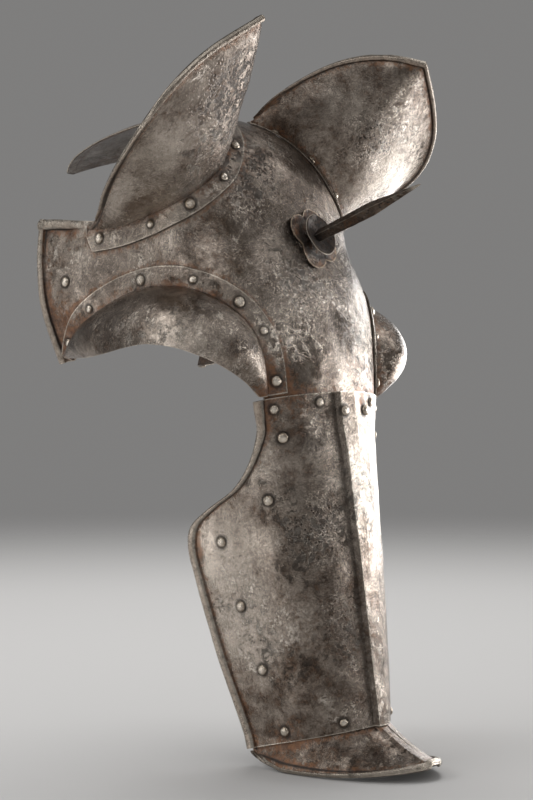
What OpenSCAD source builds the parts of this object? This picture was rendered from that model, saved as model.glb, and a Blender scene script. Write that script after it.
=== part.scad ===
// Chanfron: plate defence for a horse's head, with ear guards, eye guards,
// a nose plate ending in a brim, and a rosette with a spike on the forehead.
// X runs across the head, the face looks toward -Y, Z is up and the plates
// are alike on both sides of the plane X = 0. All sizes are in millimetres.

/* [Plates] */
// Thickness of every plate
plate_t = 1.8; // [1.4:0.1:2.4]
// Gap between two plates that lap
lap_gap = 0.45; // [0.4:0.05:0.6]
// Half width of the brow plate at the cheeks
cheek_w = 117; // [108:1:126]
// Half width of the brow plate where the nose plate laps it
bridge_w = 79; // [75:1:82]
// Depth over which the brow rounds into the cheeks
brow_round = 66; // [58:1:74]
// Depth over which the poll tongue rounds, greater means flatter
poll_round = 160; // [120:5:200]
// Radius of the rolled edges of the cheek wings and the nose plate
roll_r = 3.6; // [2.6:0.2:4.4]

/* [Nose plate] */
// Height of the raised band above the nose plate
band_h = 4.5; // [3:0.5:6]
// Half width of the raised band at its top
band_top = 19; // [16:1:22]
// Half width of the raised band at its foot
band_foot = 7; // [5:0.5:9]
// Depth over which the foot of the nose plate rounds
nose_round = 54; // [48:1:60]
// Length by which the brow plate reaches under the nose plate
nose_lap = 16; // [14:1:18]

/* [Nose brim] */
// Half width of the brim at its rim
brim_w = 58; // [54:1:64]
// Reach of the brim's rim in front of its middle
brim_reach = 118; // [111:1:125]
// Length of the brim collar inside the nose plate
collar_len = 16; // [15:1:20]
// Radius of the rolled rim of the brim
brim_roll = 3.2; // [2.4:0.2:4]

/* [Ear guards] */
// Width of the riveted flange of an ear guard
ear_flange = 16; // [14:1:18]
// Outward swell of the ear shell between base and rim
ear_swell = 12; // [8:1:16]
// Radius of the rolled rim of an ear guard
ear_roll = 2.8; // [2:0.2:3.6]

/* [Eye guards] */
// Swell of the visor between its flange and its free edge
visor_swell = 13; // [8:1:18]
// Reach of the arch that the visor springs from, above its centre
arch_h = 76; // [72:1:80]
// Width of the flange over the eye
eye_flange = 18; // [16:1:20]

/* [Rosette and spike] */
// Number of petals
petals = 4; // [4:1:6]
// Radius of the rosette over its petals
rosette_r = 30; // [26:1:32]
// Radius of the cup inside the petals
cup_r = 19; // [16:1:21]
// Length of the spike from the floor of the cup
spike_len = 119; // [100:1:140]
// Side of the square spike at its root
spike_side = 8; // [7:0.5:9.5]
// Radius of the round tang that holds spike and rosette
tang_r = 3; // [2.5:0.1:3.3]
// Side of the square washer inside the brow plate
washer_side = 22; // [18:1:26]
// Side of the square nut on the tang
nut_side = 13; // [11:1:15]

/* [Rivets] */
// Head radius of a large rivet
rivet_big = 4.6; // [4:0.2:5.2]
// Head radius of a small rivet
rivet_small = 3.5; // [3.1:0.2:3.9]
// Shank radius of a rivet
shank_r = 1.8; // [1.5:0.1:2]
// Clearance round a shank in its holes
shank_gap = 0.15; // [0.1:0.05:0.3]

/* [Hidden] */

// Middle of the head in the side view, as [y, z]
head_mid = [70, 110];
// Reach of the centre line from head_mid, every 15 degrees from 30 to 225
reach = [217, 188, 170.5, 159.5, 152.5, 149, 145, 137, 127, 123, 133, 151, 182, 226];
reach_from = 30;
reach_step = 15;
// Heights between which the bridge widens to the cheeks
widen_from = -30;
widen_to = 100;
// Angle where the flatter poll begins to give way to the brow, and the span of the change
round_from = 72;
round_span = 38;
// Depth that makes the poll tongue round off faster
poll_reach = 90;
// Height above which the half width no longer changes
crown_z = 200;

steel = [0.36, 0.33, 0.31];
steel_pale = [0.5, 0.47, 0.44];
steel_dark = [0.27, 0.25, 0.24];
rivet_metal = [0.72, 0.68, 0.62];

function smooth(t) = let (c = min(max(t, 0), 1)) c * c * (3 - 2 * c);
function unit(v) = v / norm(v);
function mix(a, b, t) = a + (b - a) * t;
function flip(p) = [-p.x, p.y, p.z];

// Catmull-Rom value between b and c
function bend(a, b, c, d, t) = (2 * b + (c - a) * t + (2 * a - 5 * b + 4 * c - d) * t * t
    + (3 * b - a - 3 * c + d) * t * t * t) / 2;
// Smooth curve through evenly spaced stations, u runs from 0 to 1
function curve(pts, u) =
    let (n = len(pts) - 1,
        w = min(max(u, 0), 1) * n,
        i = min(floor(w), n - 1),
        a = i > 0 ? pts[i - 1] : 2 * pts[0] - pts[1],
        d = i < n - 1 ? pts[i + 2] : 2 * pts[n] - pts[n - 1])
    bend(a, pts[i], pts[i + 1], d, w - i);

// Angle about head_mid in the side view, from -60 to 300 degrees
function turn(y, z) = let (a = atan2(z - head_mid[1], y - head_mid[0])) a < -60 ? a + 360 : a;
function reach_at(a) = curve(reach, (a - reach_from) / (reach_step * (len(reach) - 1)));
function brow_share(a) = smooth((a - round_from) / round_span);
function round_at(a) = mix(poll_round, brow_round, brow_share(a));
function spine(a) = [head_mid[0] + reach_at(a) * cos(a), head_mid[1] + reach_at(a) * sin(a)];

// Skin of the brow plate: half width at a place in the side view
function half_w(z) = mix(bridge_w, cheek_w, smooth((z - widen_from) / (widen_to - widen_from)));
function depth(y, z) = let (a = turn(y, z), d = reach_at(a) - norm([y, z] - head_mid),
        k = 1 - brow_share(a))
    min(d / round_at(a) * (1 + k * pow(max(d, 0) / poll_reach, 2)), 1);
function skin_x(y, z) = let (t = max(depth(y, z), 0)) half_w(z) * sqrt(1 - (1 - t) * (1 - t));
function skin(q) = [skin_x(q[0], q[1]), q[0], q[1]];
// Value that is 1 on the skin and grows outward, with its slope
function level(p) = let (t = depth(p.y, p.z)) pow(p.x / half_w(p.z), 2) + pow(1 - t, 2);
function slope(p, h = 0.5) = [
    level([p.x + h, p.y, p.z]) - level([p.x - h, p.y, p.z]),
    level([p.x, p.y + h, p.z]) - level([p.x, p.y - h, p.z]),
    level([p.x, p.y, p.z + h]) - level([p.x, p.y, p.z - h])] / (2 * h);
function outward(p) = unit(slope(p));
function lift(p, e) = p + outward(p) * e;
// Nearest place on the skin to a place close to it
function settle(p, n = 3) = n == 0 ? p :
    let (g = slope(p)) settle(p - g * (level(p) - 1) / (g * g), n - 1);
// Side-view place on the ray at angle a where the skin is x wide
function at_width(a, x) = let (w = half_w(crown_z),
        r = reach_at(a) - round_at(a) * (1 - sqrt(1 - pow(x / w, 2))))
    [head_mid[0] + r * cos(a), head_mid[1] + r * sin(a)];

// Height of the nose plate's top edge at its sides
nose_top_side = -2;

// Arch round the eye in the side view, f runs from 0 at the front foot to 1 behind
eye_mid = [25, 20];
arch_front = 86;
arch_rear = 125;
arch_foot = 4;
foot_share = 0.12;
arch_turn = 164;
front_power = 0.8;
rear_power = 1.18;
arch_peak = foot_share + (1 - foot_share) * 90 / arch_turn;
function arch(f, trim = 0, foot = arch_foot) =
    f < foot_share ? [eye_mid[0] - arch_front + trim, mix(foot, eye_mid[1], f / foot_share)] :
    let (a = arch_turn * (f - foot_share) / (1 - foot_share), c = cos(a), s = sin(a))
    c > 0 ? eye_mid + [-(arch_front - trim) * pow(c, front_power), (arch_h - trim) * pow(s, front_power)]
        : eye_mid + [(arch_rear - trim) * pow(-c, rear_power), (arch_h - trim) * pow(s, rear_power)];

// Unit normals of a grid from its neighbours
function grid_normals(g) = let (rows = len(g), cols = len(g[0]))
    [for (i = [0:rows - 1]) [for (j = [0:cols - 1])
        let (a = g[min(i + 1, rows - 1)][j] - g[max(i - 1, 0)][j],
            b = g[i][min(j + 1, cols - 1)] - g[i][max(j - 1, 0)])
        unit(cross(a, b))]];
// Distances from the edge at which a rolled edge has its lines, in roll radii
roll_spots = [1.6, 1, 0.4, 0];
// Height of a rolled edge of radius r at a distance d from the edge
function roll(d, r) = d >= 2 * r ? 0 : sqrt(max(r * r - (d - r) * (d - r), 0));
// Shares along a line of a given length, even at first, then close at the rolled edge
function edge_steps(n, length, r) = let (last = 1 - 2 * r / length)
    concat([for (i = [0:n]) last * i / n], [for (k = roll_spots) 1 - k * r / length]);

// Faces of a closed shell: quads of its outer side and the loop round its edge
module closed(outer, inner, quads, ring) {
    n = len(outer);
    m = len(ring);
    polyhedron(concat(outer, inner), concat(
        [for (q = quads) each [[q[0], q[1], q[2]], [q[0], q[2], q[3]]]],
        [for (q = quads) each [[n + q[2], n + q[1], n + q[0]], [n + q[3], n + q[2], n + q[0]]]],
        [for (k = [0:m - 1]) let (a = ring[k], b = ring[(k + 1) % m])
            each [[a, n + a, b], [b, n + a, n + b]]]));
}

// Grid moved along its normals, by one distance or by a grid of distances
function offset_grid(g, n, d) = [for (i = [0:len(g) - 1]) [for (j = [0:len(g[0]) - 1])
    g[i][j] + n[i][j] * (is_num(d) ? d : d[i][j])]];

// Closed shell between two grids of points with the same layout
module shell(outer, inner) {
    rows = len(outer);
    cols = len(outer[0]);
    quads = [for (i = [0:rows - 2]) for (j = [0:cols - 2])
        [i * cols + j, i * cols + j + 1, (i + 1) * cols + j + 1, (i + 1) * cols + j]];
    ring = concat([for (j = [0:cols - 2]) j], [for (i = [0:rows - 2]) i * cols + cols - 1],
        [for (j = [cols - 1:-1:1]) (rows - 1) * cols + j], [for (i = [rows - 1:-1:1]) i * cols]);
    closed([for (r = outer) each r], [for (r = inner) each r], quads, ring);
}

// Centre part of the brow plate: angle of the centre line and place of the side edge
arch_lines = 14;
crown_lines = 24;
seam_lines = 13;
// Edge of the ear opening in front of the wing: centre line angle, then the place
notch_side = [[144.5, 10, 171.5], [140, -1, 181], [134.5, -7, 193]];
// Half width beside the ear opening and of the poll tongue, by angle
crown_edge = [[128, 76], [120, 58], [110, 44], [100, 34], [90, 31], [80, 34], [70, 38],
    [60, 41], [51, 38], [43, 29], [37, 16], [33, 4]];
// Ear opening and top edge of the wing from the seam to the rear
wing_top = [[25, 165.5], [50, 160.5], [75, 158], [100, 157.5], [125, 159.5], [148, 162], [168, 163]];
wing_rear = [[163, 34], [164.5, 52], [167.5, 78], [170.5, 106], [171.5, 133], [168, 163]];
arch_turn_foot = 217.5;
arch_turn_top = 174;
seam_turn = 149;
// Foot of the brow plate beside the nose plate
foot_rise = 4;
foot_z = nose_top_side - nose_lap + foot_rise;
brow_lines = concat(
    [for (k = [0:arch_lines]) let (u = k / arch_lines)
        [mix(arch_turn_foot, arch_turn_top, pow(u, 0.85)), arch(arch_peak * u, 2, foot_z)]],
    [for (k = [1:seam_lines]) let (q = mix([eye_mid[0], eye_mid[1] + arch_h - 2], wing_top[0],
        k / seam_lines)) [mix(arch_turn_top, seam_turn, k / seam_lines), q]],
    [for (n = notch_side) [n[0], [n[1], n[2]]]],
    [for (k = [0:crown_lines]) let (c = curve(crown_edge, k / crown_lines))
        [c[0], at_width(c[0], c[1])]]);
across = 14;
wing_len = 140;
wing_rise = 115;
wing_cols = edge_steps(14, wing_len, roll_r);
// Share of the wing's lower edge that follows the eye arch
arch_share = 0.88;
// Distance behind the middle of the face from which the top edge is rolled
top_roll_from = 112;
top_roll_fade = 8;
function brow_row(line) = let (s = spine(line[0]), q = line[1])
    [for (j = [-across:across])
        let (u = abs(j) / across, p = mix(s, q, u * u * (2 - u)), x = skin_x(p[0], p[1]))
        [sign(j) * x, p[0], p[1]]];
// Wing patch by blending its four edges, u runs rearward and v upward
function wing_low(u) = u < arch_share ? arch(mix(arch_peak, 1, u / arch_share), 2, foot_z)
    : mix(arch(1, 2), wing_rear[0], (u - arch_share) / (1 - arch_share));
function wing_at(u, v) =
    let (a = wing_low(0), b = wing_low(1), c = wing_top[0], d = wing_top[len(wing_top) - 1])
    mix(wing_low(u), curve(wing_top, u), v) + mix(mix(a, c, v), curve(wing_rear, v), u)
        - mix(mix(a, b, u), mix(c, d, u), v);
function wing_roll(u, v) = let (q = wing_at(u, v),
        rear = roll((1 - u) * wing_len, roll_r),
        top = roll((1 - v) * wing_rise, roll_r) * smooth((q[0] - top_roll_from) / top_roll_fade))
    max(rear, top);

module brow_plate() {
    rows = [for (l = brow_lines) brow_row(l)];
    cols = 2 * across + 1;
    first = arch_lines;
    nu = len(wing_cols);
    base = len(rows) * cols;
    function centre(k, j) = k * cols + j + across;
    function wing(side, k, c) = c == 0 ? centre(first + k, side * across)
        : base + (side > 0 ? 0 : (seam_lines + 1) * (nu - 1)) + k * (nu - 1) + c - 1;
    function wing_points(side) = [for (k = [0:seam_lines]) for (c = [1:nu - 1])
        let (q = wing_at(wing_cols[c], k / seam_lines), p = skin(q)) side > 0 ? p : flip(p)];
    function wing_rolls() = [for (k = [0:seam_lines]) for (c = [1:nu - 1])
        wing_roll(wing_cols[c], k / seam_lines)];
    face = concat([for (r = rows) each r], wing_points(1), wing_points(-1));
    extra = concat([for (r = rows) for (p = r) 0], wing_rolls(), wing_rolls());
    nrm = [for (p = face) outward(p)];
    last = len(rows) - 1;
    quads = concat(
        [for (k = [0:last - 1]) for (j = [-across:across - 1])
            [centre(k, j), centre(k + 1, j), centre(k + 1, j + 1), centre(k, j + 1)]],
        [for (side = [1, -1]) for (k = [0:seam_lines - 1]) for (c = [0:nu - 2])
            let (q = [wing(side, k, c), wing(side, k, c + 1), wing(side, k + 1, c + 1), wing(side, k + 1, c)])
            side > 0 ? [q[3], q[2], q[1], q[0]] : q]);
    top = first + seam_lines;
    ring = concat(
        [for (j = [-across:across - 1]) centre(0, j)],
        [for (k = [0:first - 1]) centre(k, across)],
        [for (c = [0:nu - 2]) wing(1, 0, c)],
        [for (k = [0:seam_lines - 1]) wing(1, k, nu - 1)],
        [for (c = [nu - 1:-1:1]) wing(1, seam_lines, c)],
        [for (k = [top:last - 1]) centre(k, across)],
        [for (j = [across:-1:-across + 1]) centre(last, j)],
        [for (k = [last:-1:top + 1]) centre(k, -across)],
        [for (c = [0:nu - 2]) wing(-1, seam_lines, c)],
        [for (k = [seam_lines:-1:1]) wing(-1, k, nu - 1)],
        [for (c = [nu - 1:-1:1]) wing(-1, 0, c)],
        [for (k = [first:-1:1]) centre(k, -across)]);
    color(steel)
    difference() {
        closed([for (i = [0:len(face) - 1]) face[i] + nrm[i] * extra[i]],
            [for (i = [0:len(face) - 1]) face[i] - nrm[i] * plate_t], quads,
            [for (i = [len(ring) - 1:-1:0]) ring[i]]);
        joint_places() shank_hole();
        side_pair() {
            eye_places() shank_hole();
            ear_places() shank_hole();
            wing_place() shank_hole();
        }
        on_crest() tang_hole();
    }
}

// Nose plate: centre line, half width and side edge by height
nose_top = 7;
nose_foot = -277;
nose_lean = 0.112;
nose_width = bridge_w * [1.114, 0.975, 0.918, 0.886, 0.823, 0.747, 0.633];
nose_width_top = 10;
nose_width_step = 50;
// Rear edge of the nose plate as [y, z] from its top to its foot
nose_rear = [[-52, nose_top_side], [-50, -30], [-40, -54], [-21, -77], [8, -95], [28, -111],
    [31.5, -130], [26, -153], [20, -176], [13, -200], [6, -224], [-2, -248], [-10, -274], [-18, -303]];
nose_lines = 34;
side_steps = 14;
band_edge = 1.6;
nose_bias = 1.7;
// Angle of the centre line that the top of the nose plate starts from
nose_turn = 215;
// Length of a line round the plate against its depth
nose_bow = 1.15;
// Height below which the nose plate leaves the shape of the brow plate, and the span of the change
leave_z = -15;
leave_span = 30;
// Length over which the raised band narrows, and how it starts
band_len = 280;
band_power = 0.8;
lap = plate_t + lap_gap;
// Offsets that keep the lap along the slanted skin, rearward and sideways
lap_reach = 1.2 * lap;
lap_side = 1.1 * lap;
// Share by which the nose plate keeps to the shape of the brow plate
function lap_share(z) = smooth((z - leave_z) / leave_span + 1);
nose_width_len = nose_width_step * (len(nose_width) - 1);
function nose_half(z) = mix(curve(nose_width, (nose_width_top - z) / nose_width_len),
    half_w(z) + lap_side, lap_share(z));
function nose_front(z) = spine(nose_turn)[0] - lap_side + nose_lean * z;
function nose_depth(y, z) = let (r = reach_at(turn(y, z)) + lap_reach - norm([y, z] - head_mid))
    mix((y - nose_front(z)) / nose_round, r / (brow_round + lap_reach), lap_share(z));
function nose_x(y, z) = let (t = min(max(nose_depth(y, z), 0), 1))
    nose_half(z) * sqrt(1 - (1 - t) * (1 - t));
function nose_at(q) = [nose_x(q[0], q[1]), q[0], q[1]];
function nose_normal(q, h = 0.5) = unit(cross(nose_at([q[0] + h, q[1]]) - nose_at([q[0] - h, q[1]]),
    nose_at([q[0], q[1] + h]) - nose_at([q[0], q[1] - h])));
function band_half(z) = mix(band_top, band_foot, pow(min(max(-z / band_len, 0), 1), band_power));
// Share of the way from a to b at which the plate is x wide, by halving
function wide_at(a, b, x, lo = 0, hi = 1, n = 16) = let (m = (lo + hi) / 2, q = mix(a, b, m))
    n == 0 ? m : nose_x(q[0], q[1]) < x ? wide_at(a, b, x, m, hi, n - 1) : wide_at(a, b, x, lo, m, n - 1);
function nose_ends(v) = let (z = mix(nose_top, nose_foot, v)) [[nose_front(z), z], curve(nose_rear, v)];
// Half a line across the nose plate, v runs from its top to its foot
function nose_line(v) =
    let (e = nose_ends(v), a = e[0], b = e[1], w = band_half(a[1]),
        s0 = pow(wide_at(a, b, w + band_edge), 1 / nose_bias),
        steps = [for (t = edge_steps(side_steps, (b[0] - a[0]) * nose_bow, roll_r)) mix(s0, 1, t)])
    concat([[0, a[0] - band_h, a[1]], [w, mix(a[0], b[0], wide_at(a, b, w)) - band_h, a[1]]],
        [for (t = steps) nose_at(mix(a, b, pow(t, nose_bias)))]);
function mirrored(line) = concat([for (k = [len(line) - 1:-1:1]) flip(line[k])], line);
// Heights of the rolled edge for a line that ends in its four close columns
function edge_rolls(n, r) = let (m = n - len(roll_spots))
    [for (k = [0:n - 1]) k < m ? 0 : roll(roll_spots[k - m] * r, r)];

module nose_plate() {
    grid = [for (k = [0:nose_lines]) mirrored(nose_line(k / nose_lines))];
    nrm = grid_normals(grid);
    half = (len(grid[0]) + 1) / 2;
    rolls = let (h = edge_rolls(half, roll_r)) concat([for (k = [half - 1:-1:1]) h[k]], h);
    color(steel)
    difference() {
        shell(offset_grid(grid, nrm, [for (r = grid) rolls]), offset_grid(grid, nrm, -plate_t));
        joint_places() shank_hole();
        side_pair() nose_lining_places() shank_hole();
        brim_places() shank_hole();
    }
}

// Brim: a collar inside the foot of the nose plate that flares out to a rolled rim
brim_mid = -62;
brim_rear = 70;
brim_turn = 126;
rim_front_z = -306;
rim_side_z = -316;
rim_band = 5.5;
rim_band_h = 2;
brim_sag = 3;
// Angle over which the rim falls towards its sides, and how fast it rises behind them
rim_fall = 80;
rim_rise = 0.3;
brim_steps = [0.12, 0.35, 0.6, 0.8];
function brim_rim(a) = let (c = cos(a), s = sin(a))
    [brim_w * s, brim_mid - (c > 0 ? brim_reach : brim_rear) * c,
        mix(rim_front_z, rim_side_z, smooth(abs(a) / rim_fall)) + max(abs(a) - 90, 0) * rim_rise];

module nose_brim() {
    top = 1 - collar_len / (nose_top - nose_foot);
    foot = [for (v = [top, (top + 1) / 2, 1]) mirrored(nose_line(v))];
    inside = offset_grid(foot, grid_normals(foot), -lap);
    collar = [for (row = inside) [for (j = [2:len(row) - 3]) row[j]]];
    n = len(collar[0]);
    mid = (n - 1) / 2;
    edge = asin(rim_band / brim_w);
    rim = [for (k = [0:n - 1]) let (d = abs(k - mid),
            a = d == 0 ? 0 : d == 1 ? edge : mix(edge + 1.5, brim_turn, (d - 2) / (mid - 2)))
        brim_rim(sign(k - mid) * a) + (d < 2 ? [0, 0, rim_band_h] : [0, 0, 0])];
    reach_mid = norm(rim[round(mid / 2)] - collar[2][round(mid / 2)]);
    steps = concat(brim_steps, [for (k = concat([2], roll_spots)) 1 - k * brim_roll / reach_mid]);
    grid = concat(collar, [for (v = steps) [for (k = [0:n - 1])
        mix(collar[2][k], rim[k], v) - [0, 0, brim_sag * sin(180 * v)]]]);
    nrm = grid_normals(grid);
    h = edge_rolls(len(grid), brim_roll);
    color(steel)
    difference() {
        shell(offset_grid(grid, nrm, [for (i = [0:len(grid) - 1]) [for (p = grid[i]) h[i]]]),
            offset_grid(grid, nrm, -plate_t));
        brim_places() shank_hole();
    }
}

// Ear guard: where its shell springs from the flange, as [y, z] over the cheek
ear_root = [[109, 151.5], [97, 152], [78, 153], [60, 155], [43, 158], [27, 161.5], [12, 166.5],
    [1, 173.5], [-6, 182], [-10, 191], [-11, 201]];
// and up to the crown, as [angle, half width]
ear_crown = [[126, 67], [120, 56], [114, 48], [109, 42], [104, 36], [99, 31]];
ear_stations = concat(ear_root, [for (c = ear_crown) at_width(c[0], c[1])]);
// Rim from the cheek to the tip, and from the tip to the crown
ear_rim = [[117.6, 107, 154], [124, 90, 156.5], [147, 63, 166], [172, 34, 179], [190, 2, 198],
    [199, -34, 226], [190, -56, 254], [165, -72, 282], [122.5, -90, 312.5]];
ear_rim_inner = [[122.5, -90, 312.5], [108, -77, 316], [97, -63, 318], [85, -49, 317], [73, -34, 313],
    [62, -18, 306], [51, -4, 297], [40, 13, 284], [32.5, 42, 258]];
ear_lines = 32;
ear_rise = [0, 0.5, 0.85, 1, 1, 0.85, 0.6, 0.35, 0.25, 0.25, 0.3, 0.4, 0.5, 0.5, 0.4, 0.2, 0];
ear_spans = [0.14, 0.32, 0.5, 0.68];
ear_side = [for (k = [0:ear_lines]) settle(skin(curve(ear_stations, k / ear_lines)))];
ear_along = [for (k = [0:ear_lines]) unit(ear_side[min(k + 1, ear_lines)] - ear_side[max(k - 1, 0)])];
// The flange is wider over the cheek and tapers at both ends
ear_flange_wide = 1.3;
ear_taper = 14;
ear_taper_end = 0.4;
// Greatest swell against the length of a line, and length at which the rim is fully rolled
ear_swell_most = 0.2;
ear_roll_full = 20;
ear_edge_most = 0.06;
function ear_flange_w(s) = ear_flange * mix(ear_flange_wide, 1, smooth(s * 2))
    * smooth(min(s, 1 - s) * ear_taper + ear_taper_end);
// Place on the flange, e runs from the shell to the outer edge
function ear_flange_at(k, e) = settle(ear_side[k]
    + unit(cross(outward(ear_side[k]), ear_along[k])) * e * ear_flange_w(k / ear_lines));
function ear_rim_at(s) = s < 0.5 ? curve(ear_rim, s * 2) : curve(ear_rim_inner, s * 2 - 1);

module ear_guard() {
    flange = [for (e = [1, 0.5, 0]) [for (k = [0:ear_lines]) lift(ear_flange_at(k, e), lap_gap)]];
    rim = [for (k = [0:ear_lines]) ear_rim_at(k / ear_lines)];
    way = [for (k = [0:ear_lines]) rim[k] - flange[2][k]];
    swell = [for (k = [0:ear_lines]) unit(cross(way[k], ear_along[k]))
        * min(ear_swell * curve(ear_rise, k / ear_lines), norm(way[k]) * ear_swell_most)];
    function cone(v, k) = flange[2][k] + way[k] * v + swell[k] * sin(180 * pow(v, 0.8));
    body = [for (v = ear_spans) [for (k = [0:ear_lines]) cone(v, k)]];
    edge = [for (m = concat([2], roll_spots)) [for (k = [0:ear_lines])
        cone(1 - min(m * ear_roll / max(norm(way[k]), 1), ear_edge_most * m), k)]];
    grid = concat(flange, body, edge);
    nrm = grid_normals(grid);
    h = edge_rolls(len(grid), ear_roll);
    color(steel_pale)
    difference() {
        shell(offset_grid(grid, nrm, [for (i = [0:len(grid) - 1]) [for (k = [0:ear_lines])
            plate_t + h[i] * min(norm(way[k]) / ear_roll_full, 1)]]), grid);
        ear_places() shank_hole();
    }
}

// Eye guard: free edge of the visor from its front foot to its rear end
visor_edge = [[87, -60, 4], [112, -62, 18], [138, -55, 31], [154, -44, 38], [161, -26, 43.5],
    [162, 0, 46], [158, 28, 43.5], [149, 58, 40], [136, 92, 38], [119, 128, 39]];
visor_spans = [0.1, 0.25, 0.42, 0.6, 0.8, 1];
visor_lines = 32;
eye_side = [for (k = [0:visor_lines]) settle(skin(arch(k / visor_lines)))];
eye_along = [for (k = [0:visor_lines]) unit(eye_side[min(k + 1, visor_lines)] - eye_side[max(k - 1, 0)])];
// The flange narrows over its last stretch behind the eye
narrow_from = 0.86;
narrow_by = 0.3;
visor_swell_most = 0.25;
function eye_flange_w(f) = eye_flange * (1 - narrow_by * smooth((f - narrow_from) / (1 - narrow_from)));
function eye_flange_at(k, e) = settle(eye_side[k]
    + unit(cross(outward(eye_side[k]), eye_along[k])) * e * eye_flange_w(k / visor_lines));

module eye_guard() {
    flange = [for (e = [1:-0.25:0]) [for (k = [0:visor_lines]) lift(eye_flange_at(k, e), lap_gap)]];
    foot = flange[len(flange) - 1];
    way = [for (k = [0:visor_lines]) curve(visor_edge, k / visor_lines) - foot[k]];
    swell = [for (k = [0:visor_lines]) unit(cross(way[k], eye_along[k]))
        * min(visor_swell, norm(way[k]) * visor_swell_most)];
    visor = [for (v = visor_spans) [for (k = [0:visor_lines])
        foot[k] + way[k] * v + swell[k] * sin(180 * v)]];
    grid = concat(flange, visor);
    color(steel_pale)
    difference() {
        shell(offset_grid(grid, grid_normals(grid), plate_t), grid);
        eye_places() shank_hole();
    }
}

// Rivets: a domed head outside, a shank and a flatter head closed inside
head_gap = 0.4;
inner_gap = 0.9;
dome_rise = 0.55;
inner_head = 0.7;
inner_rise = 0.4;
shank_bite = 0.4;
washer_t = 1;
washer_gap = 0.8;
lining_r = 4.6;
two_plates = 2 * plate_t + lap_gap;
one_plate = plate_t + washer_gap + washer_t;
// Places along a flange: line of the guard, and size of head from 0, small, to 1, big
eye_rivet_lines = [[2.6, 1], [7.5, 0], [11, 1], [15.9, 0], [21.2, 1], [26.5, 0], [30.4, 0.6]];
ear_rivet_lines = [[2.4, 1], [9, 0], [13.8, 1], [18.9, 0], [23, 0.4], [27.8, 0]];
// Places as [y, z] on the nose plate, with the size of head where it varies
nose_lining = [[-70, -32], [-58, -85], [-6, -123], [-24, -177.5], [-43, -231]];
joint_rivet_at = [[-66, -8, 0.3], [-87, -2, 0.3]];
brim_rivet_at = [[-60, nose_foot - 6.5, 1], [-110, nose_foot + 4.5, 0]];
// Place of the rivet on the wing as [y, z], and of the one on the band as [x, z]
wing_rivet_at = [137, 105.7];
band_rivet = [15, -9];
band_back = nose_round * (1 - sqrt(1 - pow(band_top / bridge_w, 2)));
band_slope = band_back / band_top;
band_spot = [band_rivet[0], nose_front(band_rivet[1]) - band_h + band_rivet[0] * band_slope,
    band_rivet[1]];
band_normal = unit([band_slope, -1, nose_lean]);
hole_len = 24;
function head_r(size) = mix(rivet_small, rivet_big, size);

// Puts children at a place with their Z axis along a direction
module place(p, n) {
    translate(p)
    rotate([0, acos(n.z), atan2(n.y, n.x)])
    children();
}
module side_pair() {
    children();
    mirror([1, 0, 0]) children();
}
module dome(r, rise) {
    h = r * rise;
    ball = (r * r + h * h) / (2 * h);
    intersection() {
        translate([0, 0, h - ball]) sphere(r = ball, $fn = 48);
        translate([0, 0, ball / 2]) cube([3 * r, 3 * r, ball], center = true);
    }
}
module rivet(r, grip) {
    translate([0, 0, head_gap]) dome(r, dome_rise);
    translate([0, 0, -grip - inner_gap - shank_bite])
        cylinder(r = shank_r, h = grip + inner_gap + head_gap + 2 * shank_bite, $fn = 32);
    translate([0, 0, -grip - inner_gap]) mirror([0, 0, 1]) dome(r * inner_head, inner_rise);
}
module shank_hole() {
    cylinder(r = shank_r + shank_gap, h = hole_len, center = true, $fn = 32);
}

// Middle of the flange at a line that may lie between two of the guard's lines
function eye_spot(k) = let (i = floor(k))
    settle(mix(eye_flange_at(i, 0.5), eye_flange_at(i + 1, 0.5), k - i));
function ear_spot(k) = let (i = floor(k))
    settle(mix(ear_flange_at(i, 0.5), ear_flange_at(i + 1, 0.5), k - i));

// Each module puts its children at every rivet of one group, Z along the rivet
module eye_places() {
    for (q = eye_rivet_lines)
        let (p = eye_spot(q[0]), $head = head_r(q[1]))
        place(lift(p, lap), outward(p)) children();
}
module ear_places() {
    for (q = ear_rivet_lines)
        let (p = ear_spot(q[0]), $head = head_r(q[1]))
        place(lift(p, lap), outward(p)) children();
}
module wing_place() {
    p = skin(wing_rivet_at);
    $head = rivet_big;
    place(p, outward(p)) children();
}
module joint_places() {
    side_pair()
    for (q = joint_rivet_at)
        let (p = nose_at(q), $head = head_r(q[2]))
        place(p, nose_normal(q)) children();
    $head = rivet_big;
    side_pair() place(band_spot, band_normal) children();
}
module nose_lining_places() {
    for (q = nose_lining)
        let ($head = rivet_big)
        place(nose_at(q), nose_normal(q)) children();
}
module brim_places() {
    side_pair()
    for (q = brim_rivet_at)
        let ($head = head_r(q[2]))
        place(nose_at(q), nose_normal(q)) children();
}

module washer() {
    translate([0, 0, -plate_t - washer_gap - washer_t])
    difference() {
        cylinder(r = lining_r, h = washer_t, $fn = 48);
        cylinder(r = shank_r + shank_gap, h = 3 * washer_t, center = true, $fn = 32);
    }
}

// Rivets and washers of the left side, and the rivets of both sides
module eye_rivets() {
    color(rivet_metal) eye_places() rivet($head, two_plates);
}
module ear_rivets() {
    color(rivet_metal) ear_places() rivet($head, two_plates);
}
module nose_rivets() {
    color(rivet_metal) nose_lining_places() rivet($head, one_plate);
}
module wing_rivet() {
    color(rivet_metal) wing_place() rivet($head, one_plate);
}
module joint_rivets() {
    color(rivet_metal) joint_places() rivet($head, two_plates);
}
module brim_rivets() {
    color(rivet_metal) brim_places() rivet($head, two_plates);
}
module lining_washers() {
    color(steel_dark) {
        nose_lining_places() washer();
        wing_place() washer();
    }
}

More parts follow.
